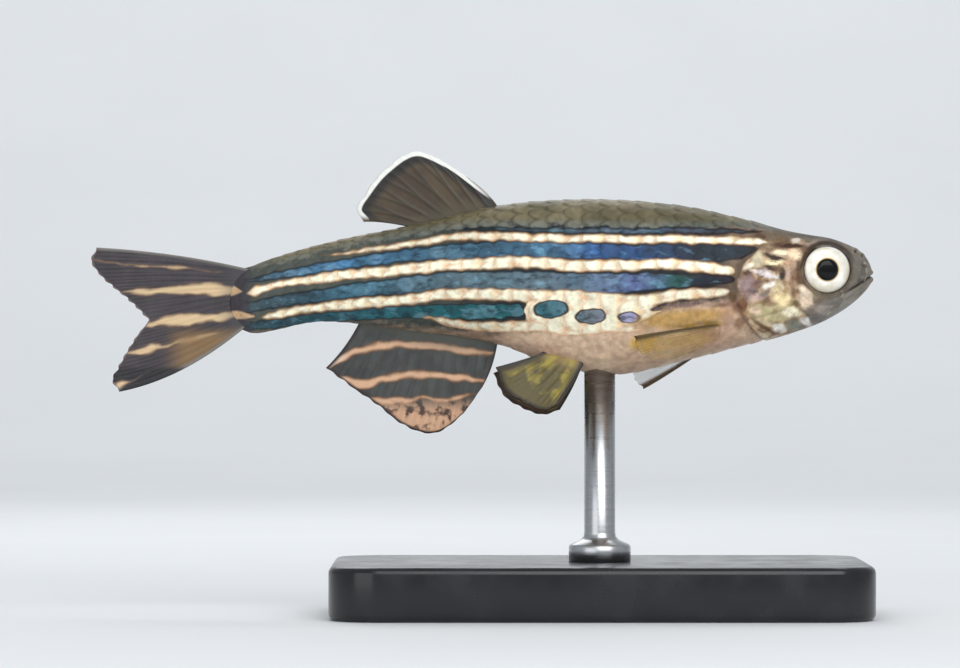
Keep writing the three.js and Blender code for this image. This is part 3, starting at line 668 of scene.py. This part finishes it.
veins = clouds(skin, 2000.0, 4.0)
cheek = blend(skin, spread(skin, veins, 0.38, 0.6), "86684e", "c4aa8a")
cheek = blend(skin, spread(skin, where.outputs["X"], 9.4 * MM, 11 * MM), cheek, "7d7364")
crown = blend(skin, spread(skin, where.outputs["X"], 7 * MM, 10 * MM), "584c36", "3a3326")
head_colour = blend(skin, spread(skin, attribute["back"], -0.75, -0.15), cheek, crown)
colour = blend(skin, attribute["head"], colour, head_colour)
# the head's marks show patchily; two of them are painted highlights
patchy_marks_and_highlights = maths(skin, "MULTIPLY", mark.outputs["Alpha"], spread(skin, veins, 0.3, 0.5, 0.55, 1.0))
colour = blend(skin, patchy_marks_and_highlights, colour, mark.outputs["Color"])
# single pigment cells dot the head, about a twentieth of a millimetre wide
cells = node(skin, "ShaderNodeTexVoronoi", {"Scale": 7000.0}, {"Vector": coords})
dotted = maths(skin, "MULTIPLY", spread(skin, cells.outputs["Distance"], 0.26, 0.16, 0.0, 0.5),
               spread(skin, patches, 0.42, 0.6))
dotted = maths(skin, "MULTIPLY", dotted, spread(skin, where.outputs["X"], 5 * MM, 7 * MM))
colour = blend(skin, dotted, colour, "3a2a20")
# painted shade in the head's creases, and the ring round the eye, partly dark skin and partly painted shade
colour = blend(skin, maths(skin, "MULTIPLY", attribute["crease_shade_and_eye_ring"], 0.85), colour, "2a1c14")
glint = spread(skin, clouds(skin, 3200.0, 3.0), 0.3, 0.7, 0.82, 1.12)
lit = node(skin, "ShaderNodeHueSaturation", {}, {"Color": colour, "Value": glint}).outputs["Color"]
feed(shader, "Base Color", lit)
feed(shader, "Metallic", spread(skin, attribute["gold"], -0.05, 0.1, 0.1, 0.2))
dull = spread(skin, attribute["gold"], 0.1, -0.05, 0.0, 0.16)
feed(shader, "Roughness", maths(skin, "ADD", dull, spread(skin, speckle, 0.3, 0.7, 0.26, 0.36)))
pores = node(skin, "ShaderNodeBump", {"Strength": 0.25, "Distance": 0.02 * MM}, {"Height": speckle})
feed(shader, "Normal", pores.outputs["Normal"])

piece = finish_mesh(bm, "skin", skin)
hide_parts("head", "lower_jaw", "gill_cover_right", "gill_cover_left", "trunk", "tail_stem")

# Eyes.
# Each is a firm ball behind clear cornea, with a bright silvery iris and the black lens in the pupil.
# It sits in the orbit with only its front showing. The orbit's floor cuts through it, out of sight.
PUPIL = 0.53
IRIS = 1.09
EYE_FRONT, EYE_BACK = 0.62, 0.55  # depths of the ball before and behind its rim
LENS_RISE, IRIS_DIP = 0.08, 0.03
iris, shader = new_material("silvery iris under clear cornea", {
    "Roughness": 0.22,
    "Specular IOR Level": 0.15,
    "Coat Weight": 0.25,
    "Coat Roughness": 0.03,
})
reach = attributes(iris, ("reach",))["reach"]
bright = blend(iris, spread(iris, clouds(iris, 1500.0, 5.0), 0.35, 0.65), "ebe4cf", "fffcf4")
bright = blend(iris, spread(iris, reach, PUPIL + 0.01, PUPIL + 0.08), "c8a870", bright)
outer = blend(iris, spread(iris, reach, IRIS - 0.03, IRIS + 0.05), bright, "33271f")
eye_colour = blend(iris, spread(iris, reach, PUPIL - 0.03, PUPIL + 0.03), "040404", outer)
feed(shader, "Base Color", eye_colour)
feed(shader, "Metallic", spread(iris, reach, PUPIL, IRIS, 0.05, 0.3))

for side_name, way in (("right", -1), ("left", 1)):
    bm = bmesh.new()
    bm.loops.layers.uv.new("OFBake")
    bmesh.ops.create_uvsphere(bm, u_segments=96, v_segments=64, radius=1.0, calc_uvs=True)
    reach_layer = bm.verts.layers.float.new("reach")
    for v in bm.verts:
        outward = v.co.z
        reach = math.hypot(v.co.x, v.co.y) * EYE_RADIUS
        depth = EYE_FRONT * outward ** 0.8 if outward > 0 else EYE_BACK * outward
        if outward > 0:
            depth += LENS_RISE * (1 - ramp(PUPIL * 0.7, PUPIL * 1.06, reach))
            depth -= IRIS_DIP * bump(reach - PUPIL * 1.15, 0.08)
        v[reach_layer] = reach if outward > 0 else EYE_RADIUS
        depth -= EYE_TURN * v.co.x * EYE_RADIUS
        flat = Vector((v.co.x * EYE_RADIUS, way * depth, v.co.y * EYE_RADIUS * way))
        centre = place(EYE_AT[0], EYE_AT[1], way * EYE_SIDE)
        v.co = centre + flat * MM
    bmesh.ops.recalc_face_normals(bm, faces=bm.faces)
    piece = finish_mesh(bm, "eyeball_" + side_name, iris)
    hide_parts("eye_" + side_name)

# Fins.
# Each is two thin sheets of clear skin with bony rays between them, jointed and forked towards their tips.
# The root is set in the flesh. Ray, web and free edge differ in thickness, and stripes cross from ray to ray.
WEB_HALF = 0.045  # half thicknesses
RAY_HALF, RAY_TIP_HALF = 0.1, 0.06
ROOT_HALF = 0.12
RAY_FORK = 0.24  # how far a ray's two branches stand from its middle, in ray spacings
RAY_SEGMENT = 0.26
FLUTTER = 0.06
NOTCH = 0.012  # of a ray's length, between two ray tips
FIN_LAYERS = ("ray", "along", "across", "tip", "margin", "gold", "joint")


def line(points):
    """A smooth curve by share, from 0 to 1, through points in mm, spaced by their distances."""
    reach = [0.0]
    for a, b in zip(points, points[1:]):
        reach.append(reach[-1] + math.dist(a, b))
    curves = [through([(r / reach[-1], p[i]) for r, p in zip(reach, points)]) for i in range(3)]
    return lambda share: Vector([curve(share) for curve in curves])


def fin(name, material, rays, root, tips, bow, stripes=(), columns=12, rows=60, root_half=ROOT_HALF):
    """A fin as one closed, thin mesh. Root, tips and bow give a place in mm for each share across the fin."""
    bm = bmesh.new()
    uv = bm.loops.layers.uv.new("OFBake")
    bmesh.ops.create_grid(bm, x_segments=(rays - 1) * columns, y_segments=rows, size=0.5, calc_uvs=True)
    layer = {key: bm.verts.layers.float.new(key) for key in FIN_LAYERS}
    half_layer = bm.verts.layers.float.new("half")
    for v in bm.verts:
        share, along = v.co.x + 0.5, v.co.y + 0.5
        number = share * (rays - 1)
        from_ray = abs(number - round(number))
        web = math.sin(math.pi * (number % 1.0)) ** 2
        start, end = root(share), tips(share)
        spacing = mix((root(0) - root(1)).length, (tips(0) - tips(1)).length, along) / (rays - 1)
        uneven = 1 + noise.noise(Vector((math.floor(number) * 3.7, rays, 0.5)))
        reach = along * (1 - NOTCH * uneven * web * along)
        at = start + (end - start) * reach + bow(share) * 4 * reach * (1 - reach)
        at.z += FLUTTER * math.sin(5.5 * along + 9 * share) * along
        split = RAY_FORK * ramp(0.35, 0.85, along)
        gap = min(abs(from_ray - split), abs(from_ray + split)) * spacing
        fleshy = 1 - ramp(0, 0.35, along)
        ridge = bump(gap, 0.05 + 0.05 * (1 - along)) * (1 - fleshy)
        length = (end - start).length
        edge = min((1 - reach) * length, share * spacing * (rays - 1) * 0.9 + 0.02,
                   (1 - share) * spacing * (rays - 1) * 0.9 + 0.02)
        border = along in (0.0, 1.0) or share in (0.0, 1.0)
        thin = ramp(0, 0.25, (1 - reach) * length)
        half = mix(WEB_HALF, mix(RAY_HALF, RAY_TIP_HALF, along), ridge) * mix(0.35, 1, thin)
        half = mix(half, root_half, fleshy)
        v[half_layer] = 0.0 if border else half
        v[layer["ray"]] = ridge
        v[layer["along"]] = along
        v[layer["across"]] = share
        v[layer["margin"]] = edge
        along_edge = tips(min(1, share + 0.01)) - tips(max(0, share - 0.01))
        v[layer["tip"]] = (1 - reach) * length * math.sin((end - start).angle(along_edge))
        v[layer["joint"]] = along * length
        wobble = 0.12 * noise.noise(Vector((at.x * 1.5, at.y * 1.5, 9)))
        v[layer["gold"]] = inside_stripes(stripes, at.x, at.y + wobble) if stripes else -1
        v.co = place(*at)
    bm.normal_update()
    first = list(bm.verts)
    normals = [v.normal.copy() for v in first]
    copied = bmesh.ops.duplicate(bm, geom=bm.faces[:])
    faces = [item for item in copied["geom"] if isinstance(item, bmesh.types.BMFace)]
    second = copied["vert_map"]
    for v, normal in zip(first, normals):
        shift = normal * v[half_layer] * MM
        second[v].co -= shift
        v.co += shift
    bmesh.ops.reverse_faces(bm, faces=faces)
    for face in faces:
        for loop in face.loops:
            loop[uv].uv.x = 0.5 + loop[uv].uv.x / 2
    kept = set(faces)
    for face in bm.faces:
        if face not in kept:
            for loop in face.loops:
                loop[uv].uv.x /= 2
    bmesh.ops.remove_doubles(bm, verts=bm.verts, dist=1e-8)
    bmesh.ops.recalc_face_normals(bm, faces=bm.faces)
    return finish_mesh(bm, name, material)


def fin_material(name, root, web, dark, ray, clear, bands=None, ray_clear=1.0, root_end=0.32):
    """Thin fin skin with bony rays and a web that lets light through. Bands: edge and middle colours."""
    material, shader = new_material(name, {
        "Roughness": 0.5,
        "Coat Weight": 0.08,
        "Subsurface Weight": 0.15,
        "Subsurface Scale": 0.4 * MM,
    })
    value = attributes(material, FIN_LAYERS)
    where = node(material, "ShaderNodeSeparateXYZ", {}, {"Vector": object_coords(material)})
    value["X"], value["Z"] = where.outputs["X"], where.outputs["Z"]
    value["blotch"] = clouds(material, 900.0, 3.0)
    colour = blend(material, spread(material, value["blotch"], 0.35, 0.65), web, dark)
    colour = blend(material, maths(material, "MULTIPLY", value["ray"], 0.6), colour, ray)
    segments = maths(material, "PINGPONG", value["joint"], RAY_SEGMENT / 2)
    joints = spread(material, segments, 0.0, 0.025, 0.45, 0.0)
    colour = blend(material, maths(material, "MULTIPLY", joints, value["ray"]), colour, dark)
    film = maths(material, "MULTIPLY", value["ray"], ray_clear)
    if bands:
        uneven = spread(material, value["blotch"], 0.3, 0.7, -0.06, 0.04)
        uneven = maths(material, "ADD", value["gold"], uneven)
        striped = blend(material, spread(material, uneven, -0.02, 0.17), *bands)
        inside = spread(material, uneven, -0.08, 0.06)
        colour = blend(material, inside, colour, striped)
        film = maths(material, "MAXIMUM", inside, film)
    fleshy = spread(material, value["along"], root_end, 0.0)
    colour = blend(material, fleshy, colour, root)
    film = maths(material, "MAXIMUM", film, fleshy)
    feed(shader, "Alpha", spread(material, film, 0.0, 0.8, clear, 1.0))
    return material, shader, colour, value


def constant(*values):
    return lambda share: Vector(values)


# Dorsal fin: olive brown, with a dark line inside the white edge of its top and rear
web_dorsal, shader, colour, value = fin_material("brown dorsal fin web", "4f4832", "4c4028", "3a301e",
                                                  "2c2416", 0.93)
edged = maths(web_dorsal, "MULTIPLY", spread(web_dorsal, value["across"], -0.04, 0.08),
              spread(web_dorsal, value["across"], 1.0, 0.94))
lined = maths(web_dorsal, "MULTIPLY", edged, spread(web_dorsal, value["tip"], 1.0, 0.55, 0.0, 0.95))
colour = blend(web_dorsal, lined, colour, "12100f")
whitened = maths(web_dorsal, "MULTIPLY", edged, spread(web_dorsal, value["tip"], 0.36, 0.27))
colour = blend(web_dorsal, whitened, colour, "f0f0ea")
feed(shader, "Base Color", colour)


def dorsal_root(share):
    s = mix(17.9, 21.6, share)
    return Vector((s, back(s) - 0.45, 0))


piece = fin("dorsal_fin_web", web_dorsal, 9, dorsal_root,
            line([(19.6, 4.75, 0), (21.1, 5.75, 0), (22.25, 6.08, 0), (23.65, 5.2, 0.1), (24.55, 4.1, 0.15),
                  (25, 3.25, 0.15), (24.65, 2.65, 0.1)]),
            lambda share: Vector((-0.1 + 0.3 * share, 0.14, 0)), columns=14)
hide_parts("dorsal_fin")

# Anal fin: dark bands and pale gold bands side by side from front to rear, blotched towards the edge
web_anal, shader, colour, value = fin_material("banded anal fin web", "4a4a40", "404846", "2b3030",
                                                "34302a", 0.9, ("6e4a2c", "d2ac8a"))
rear_end = spread(web_anal, value["X"], -12 * MM, -13 * MM, 0.0, 0.7)
pink = maths(web_anal, "MULTIPLY", rear_end, spread(web_anal, value["gold"], 0.0, 0.1))
colour = blend(web_anal, pink, colour, "efd9cc")
low = maths(web_anal, "MULTIPLY", spread(web_anal, value["Z"], 10.7 * MM, 9.7 * MM, 0.0, 0.95),
            spread(web_anal, value["X"], -11.5 * MM, -10.3 * MM))
dabs = clouds(web_anal, 2400.0, 2.0)
blotches = blend(web_anal, spread(web_anal, dabs, 0.36, 0.54), "4a3020", "cfa684")
colour = blend(web_anal, low, colour, blotches)
colour = blend(web_anal, spread(web_anal, value["margin"], 0.22, 0.06), colour, "241e1a")
feed(shader, "Base Color", colour)
ANAL_STRIPES = [
    ([(18.5, -3.77), (20.7, -3.47), (22.9, -3.32), (24.9, -3.62), (26.5, -4.4)],
     [(18.4, 0.1), (19.5, 0.2), (23, 0.22), (26.6, 0.2)]),
    ([(18.8, -5.08), (20.7, -4.86), (22.9, -4.8), (24.6, -5.22), (26.4, -4.95)],
     [(18.7, 0.1), (20, 0.2), (23.5, 0.22), (25.2, 0.28), (26.4, 0.2)]),
    ([(19.6, -5.72), (20.6, -6.02), (21.8, -5.9), (23, -6.08), (24.5, -5.98)],
     [(19.4, 0.05), (20.4, 0.18), (22.2, 0.14), (23.4, 0.2), (24.6, 0.1)]),
]


def anal_root(share):
    s = mix(18.1, 24.7, share)
    return Vector((s, belly(s) + 0.45, 0))


piece = fin("anal_fin_web", web_anal, 14, anal_root,
            line([(18.9, -5.4, 0), (20, -6.85, 0), (21.2, -7.62, 0), (22.5, -7.35, 0.05), (24, -6.25, 0.1),
                  (25.5, -5.2, 0.15), (26.5, -4.45, 0.15)]),
            constant(-0.12, -0.1, 0), curves(ANAL_STRIPES))
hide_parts("anal_fin")

# Tail fin: forked, with dark and gold bands along its rays and an amber patch at the root of the lower lobe
web_tail, shader, colour, value = fin_material("banded tail fin web", "3f3b40", "3c363e", "242228",
                                                "423c3e", 0.85, ("6b5444", "d6bd94"))
amber = maths(web_tail, "MULTIPLY", spread(web_tail, value["Z"], 14.1 * MM, 13.3 * MM, 0.0, 0.8),
              spread(web_tail, value["X"], -21.4 * MM, -20 * MM))
colour = blend(web_tail, amber, colour, "8c6e44")
colour = blend(web_tail, spread(web_tail, value["margin"], 0.18, 0.04), colour, "77756f")
black = maths(web_tail, "MULTIPLY", spread(web_tail, value["Z"], 12.1 * MM, 11.8 * MM),
              spread(web_tail, value["gold"], -0.02, -0.08))
colour = blend(web_tail, black, colour, "1a181c")
feed(shader, "Base Color", colour)
tail_edge = line([(37.7, 1.42, 0), (38, 0.8, 0), (37.55, 0.05, 0.05), (36.4, -0.95, 0.1),
                  (35.45, -1.85, 0.1), (35.2, -2.16, 0.1), (35.45, -2.5, 0.1), (35.9, -3.1, 0.1),
                  (36.5, -4.1, 0.05), (36.95, -5.1, 0), (36.6, -5.62, 0)])


def tail_root(share):
    return Vector((30.1, mix(0.33, -2.2, share), 0))


def tail_bow(share):
    return Vector((0, 0.18 * (1 - share) - 0.55 * share ** 3, 0.1))


piece = fin("tail_fin_web", web_tail, 19, tail_root, tail_edge, tail_bow, tail_curves, rows=70)
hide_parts("tail_fin_upper", "tail_fin_lower")

# Paired fins: the pectorals nearly clear with a brown front edge, the pelvics olive with yellow blotches
clear_webs = {}
for side_name, root, web, tint, clear in (("right", "b4924e", "c09c50", "b8902c", 0.1),
                                          ("left", "b0906c", "8a8478", "6c6659", 0.14)):
    web_front, shader, colour, value = fin_material("clear pectoral fin web " + side_name, root, web, tint,
                                                     "7c683c", clear, ray_clear=0.2, root_end=0.14)
    leading = maths(web_front, "MULTIPLY", spread(web_front, value["across"], 0.12, 0.04),
                    spread(web_front, value["along"], 0.02, 0.18))
    leading = maths(web_front, "MAXIMUM", leading, spread(web_front, value["margin"], 0.06, 0.02, 0.0, 0.4))
    colour = blend(web_front, leading, colour, "54401c")
    feed(shader, "Base Color", colour)
    film = shader.inputs["Alpha"].links[0].from_socket
    feed(shader, "Alpha", maths(web_front, "MAXIMUM", film, maths(web_front, "MULTIPLY", leading, 0.9)))
    clear_webs[side_name] = web_front
web_hind, shader, colour, value = fin_material("olive pelvic fin web", "8c7040", "5e5424", "40381a",
                                                "4a4020", 0.88)
yellow = maths(web_hind, "MULTIPLY", spread(web_hind, value["blotch"], 0.42, 0.58),
               spread(web_hind, value["margin"], 0.2, 0.6))
colour = blend(web_hind, yellow, colour, "9c8c30")
colour = blend(web_hind, spread(web_hind, value["margin"], 0.3, 0.1), colour, "2b2418")
feed(shader, "Base Color", colour)


def skin_root(start, end, way, depth):
    def at(share):
        s, h = mix(start[0], end[0], share), mix(start[1], end[1], share)
        return Vector((s, h, way * (width_at(s, h) - depth)))

    return at


PECTORALS = {
    "right": ([(11.65, -2.9, -3.3), (11.5, -3.45, -3.2), (10.9, -4, -3), (9.9, -4, -2.8), (9, -3.75, -2.5)],
              skin_root((7.0, -2.3), (7.4, -3.0), -1, 0.3), (0, 0.06, -0.45)),
    "left": ([(11, -5.5, 2.6), (11.45, -4.95, 3), (11.4, -4.1, 3.4), (10.7, -3.3, 3.5), (9.8, -2.7, 3.3)],
             skin_root((7.4, -3.0), (7.0, -2.3), 1, 0.3), (0, -0.12, 0.4)),
}
PELVICS = {
    "right": ([(15.25, -6.25, -1.95), (15.9, -6.5, -2), (17, -6.1, -1.95), (17.85, -5.45, -1.8),
               (18.25, -4.4, -1.7)], skin_root((13.95, -4.1), (15.8, -3.65), -1, 0.25), (-0.1, 0, -0.1)),
    "left": ([(15.1, -6.5, 2.1), (15.9, -6.75, 2.15), (17, -6.4, 2.1), (17.9, -5.75, 1.95),
              (18.35, -4.7, 1.8)], skin_root((13.95, -4.1), (15.8, -3.65), 1, 0.25), (-0.1, 0, 0.1)),
}
for side_name in ("right", "left"):
    for kind, parts, material, rays in (("pectoral", PECTORALS, clear_webs[side_name], 12),
                                        ("pelvic", PELVICS, web_hind, 8)):
        tips, root, bow = parts[side_name]
        thick = 0.05 if kind == "pectoral" else ROOT_HALF
        piece = fin(kind + "_web_" + side_name, material, rays, root, line(tips), constant(*bow), rows=48,
                    root_half=thick)
        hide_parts(kind + "_fin_" + side_name)

# Barbels.
# Soft feelers, a short pair on the snout and a longer pair at the corners of the mouth, bare and translucent.
# Each starts inside the skin, so that no gap shows, and tapers to a blunt tip.
FEELER_ROOT, FEELER_TIP = 0.1, 0.045  # radii
BARBELS = {
    "snout": [(0.62, 0.6, 0.6), (0.42, 0.55, 1.1), (0.38, 0.2, 1.5), (0.52, -0.3, 1.72)],
    "mouth": [(1.6, -0.7, 1), (1.55, -0.95, 1.7), (1.95, -1.5, 2.1), (2.75, -2.25, 2.25)],
}
feeler, shader = new_material("soft translucent feeler skin", {
    "Roughness": 0.35,
    "Subsurface Weight": 0.1,
    "Subsurface Scale": 0.3 * MM,
})
dots = spread(feeler, clouds(feeler, 2600.0, 3.0), 0.4, 0.62)
feed(shader, "Base Color", blend(feeler, dots, "857f74", "5a5449"))
for kind, points in BARBELS.items():
    for side_name, way in (("right", -1), ("left", 1)):
        path = line([(s, h, way * side) for s, h, side in points])
        bm = bmesh.new()
        bm.loops.layers.uv.new("OFBake")
        bmesh.ops.create_grid(bm, x_segments=40, y_segments=14, size=0.5, calc_uvs=True)
        for v in bm.verts:
            along, turn = v.co.x + 0.5, 2 * math.pi * (v.co.y + 0.5)
            centre = place(*path(along))
            ahead = (place(*path(min(1, along + 0.02))) - place(*path(max(0, along - 0.02)))).normalized()
            across = ahead.cross(Vector((0, 0, 1))).normalized()
            up = across.cross(ahead)
            rounded = math.sqrt(1 - max(0, (along - 0.93) / 0.07) ** 2)
            radius = mix(FEELER_ROOT, FEELER_TIP, along) * rounded * MM
            v.co = centre + (across * math.cos(turn) + up * math.sin(turn)) * radius
        bmesh.ops.remove_doubles(bm, verts=bm.verts, dist=1e-8)
        bmesh.ops.holes_fill(bm, edges=bm.edges)
        bmesh.ops.recalc_face_normals(bm, faces=bm.faces)
        piece = finish_mesh(bm, kind + "_feeler_" + side_name, feeler)
        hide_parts(kind + "_barbel_" + side_name)

# Display stand.
# A slab of black acrylic with polished, bevelled edges, and a turned steel rod glued into it.
# The rod's top is shaped to the belly.
BASE_SIZE = (26.0, 15.0, 2.6)
BASE_CORNER = 2.4
BASE_EDGE = 0.35
acrylic, shader = new_material("black acrylic", {"IOR": 1.49})
dust = clouds(acrylic, 500.0, 4.0)
feed(shader, "Base Color", blend(acrylic, spread(acrylic, dust, 0.4, 0.7), "17171a", "1f1f23"))
feed(shader, "Roughness", spread(acrylic, dust, 0.3, 0.7, 0.16, 0.3))
bm = bmesh.new()
bmesh.ops.create_cube(bm, size=1.0)
bmesh.ops.scale(bm, vec=Vector(BASE_SIZE) * MM, verts=bm.verts)
bmesh.ops.translate(bm, vec=Vector((0, 0, BASE_SIZE[2] * MM / 2)), verts=bm.verts)
upright = [e for e in bm.edges if abs(e.verts[0].co.z - e.verts[1].co.z) > MM]
bmesh.ops.bevel(bm, geom=upright, offset=BASE_CORNER * MM, affect="EDGES", segments=16, profile=0.5,
                material=-1)
level = [e for e in bm.edges if abs(e.verts[0].co.z - e.verts[1].co.z) < 1e-6 and e.is_manifold
         and abs(e.calc_face_angle()) > 1.0]
bmesh.ops.bevel(bm, geom=level, offset=BASE_EDGE * MM, affect="EDGES", segments=6, profile=0.5, material=-1)
piece = finish_mesh(bm, "stand_slab", acrylic)
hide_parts("stand_base")

steel, shader = new_material("turned and brushed steel", {"Metallic": 1.0})
lathe = clouds(steel, 6000.0, 2.0, (0.02, 0.02, 1.0))
feed(shader, "Base Color", blend(steel, lathe, "b2b4b6", "c8cacc"))
feed(shader, "Roughness", spread(steel, lathe, 0.3, 0.7, 0.26, 0.32))
ROD = [(0, 2.6), (1.5, 2.6), (1.5, 3.3), (1.42, 3.42), (0.95, 3.62), (0.78, 3.8), (0.75, 4.0), (0.75, 12.4),
       (0, 12.4)]  # radius and height
bm = bmesh.new()
points = [bm.verts.new(Vector((r, 0, z)) * MM) for r, z in ROD]
edges = [bm.edges.new(pair) for pair in zip(points, points[1:])]
bmesh.ops.spin(bm, geom=points + edges, cent=(0, 0, 0), axis=(0, 0, 1), angle=2 * math.pi, steps=64,
               use_merge=True)
bmesh.ops.remove_doubles(bm, verts=bm.verts, dist=1e-7)
for v in bm.verts:
    v.co.y += bend(ROD_STATION) * MM
    if v.co.z > 6 * MM:
        s = ROD_STATION - v.co.x / MM
        side = abs(v.co.y / MM - bend(s))
        middle = mix(belly(s), back(s), widest_at(s))
        share = min(1.0, side / half_width(s))
        low = middle - (middle - belly(s)) * (1 - share ** fullness(s)) ** (1 / fullness(s))
        v.co.z = (SNOUT_HEIGHT + low + 0.05) * MM
bmesh.ops.recalc_face_normals(bm, faces=bm.faces)
piece = finish_mesh(bm, "stand_post", steel)
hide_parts("stand_rod")

# Floor, light and camera.
# A pale sheet of paper that curves up behind the fish, under wide soft lamps.
paper, shader = new_material("pale matt paper", {"Roughness": 0.9})
feed(shader, "Base Color", blend(paper, clouds(paper, 40.0, 6.0), "dfe1e3", "e6e8e9"))
FLOOR_FRONT, FLOOR_LENGTH, FLOOR_WIDTH = -1.5, 2.6, 3.2  # in metres, as the next two are
CURVE_FROM, CURVE_RADIUS = 0.2, 0.3
bm = bmesh.new()
bmesh.ops.create_grid(bm, x_segments=2, y_segments=160, size=0.5)
for v in bm.verts:
    reach = (v.co.y + 0.5) * FLOOR_LENGTH + FLOOR_FRONT
    past = reach - CURVE_FROM
    v.co.x *= FLOOR_WIDTH
    if past < 0:
        v.co.y, v.co.z = reach, 0.0
    elif past < CURVE_RADIUS * math.pi / 2:
        turn = past / CURVE_RADIUS
        v.co.y = CURVE_FROM + CURVE_RADIUS * math.sin(turn)
        v.co.z = CURVE_RADIUS - CURVE_RADIUS * math.cos(turn)
    else:
        v.co.y = CURVE_FROM + CURVE_RADIUS
        v.co.z = CURVE_RADIUS + past - CURVE_RADIUS * math.pi / 2
floor = make_object(bm, "floor", paper)

FISH_CENTRE = Vector((-5.8, 0, 13.6)) * MM
BACKDROP = Vector((0, 480, 120)) * MM
for name, at, aim, size, power in (("key", (50, -150, 120), FISH_CENTRE, 170, 0.24),
                                   ("fill", (-110, -150, 30), FISH_CENTRE, 140, 0.07),
                                   ("rim", (-30, 120, 110), FISH_CENTRE, 90, 0.05),
                                   ("backdrop", (0, 260, 420), BACKDROP, 300, 0.8)):
    lamp = bpy.data.lights.new(name, "AREA")
    lamp.size = size * MM
    lamp.energy = power
    holder = bpy.data.objects.new(name, lamp)
    holder.location = Vector(at) * MM
    holder.rotation_euler = (aim - holder.location).to_track_quat("-Z", "Y").to_euler()
    bpy.context.scene.collection.objects.link(holder)
world = bpy.data.worlds.new("soft room")
world.use_nodes = True
sky = world.node_tree.nodes["Background"]
sky.inputs["Color"].default_value = srgb("dfe4ea")
sky.inputs["Strength"].default_value = 0.6
bpy.context.scene.world = world
bpy.context.scene.view_settings.view_transform = "Standard"

VIEW_WIDTH = 46.5  # mm across the picture at the fish
lens = bpy.data.cameras.new("camera")
lens.lens = 200
lens.clip_start = 0.005
camera = bpy.data.objects.new("camera", lens)
distance = VIEW_WIDTH * lens.lens / lens.sensor_width * MM
camera.location = FISH_CENTRE - Vector((0, distance, 0))
camera.rotation_euler = (math.pi / 2, 0, 0)
bpy.context.scene.collection.objects.link(camera)
bpy.context.scene.camera = camera
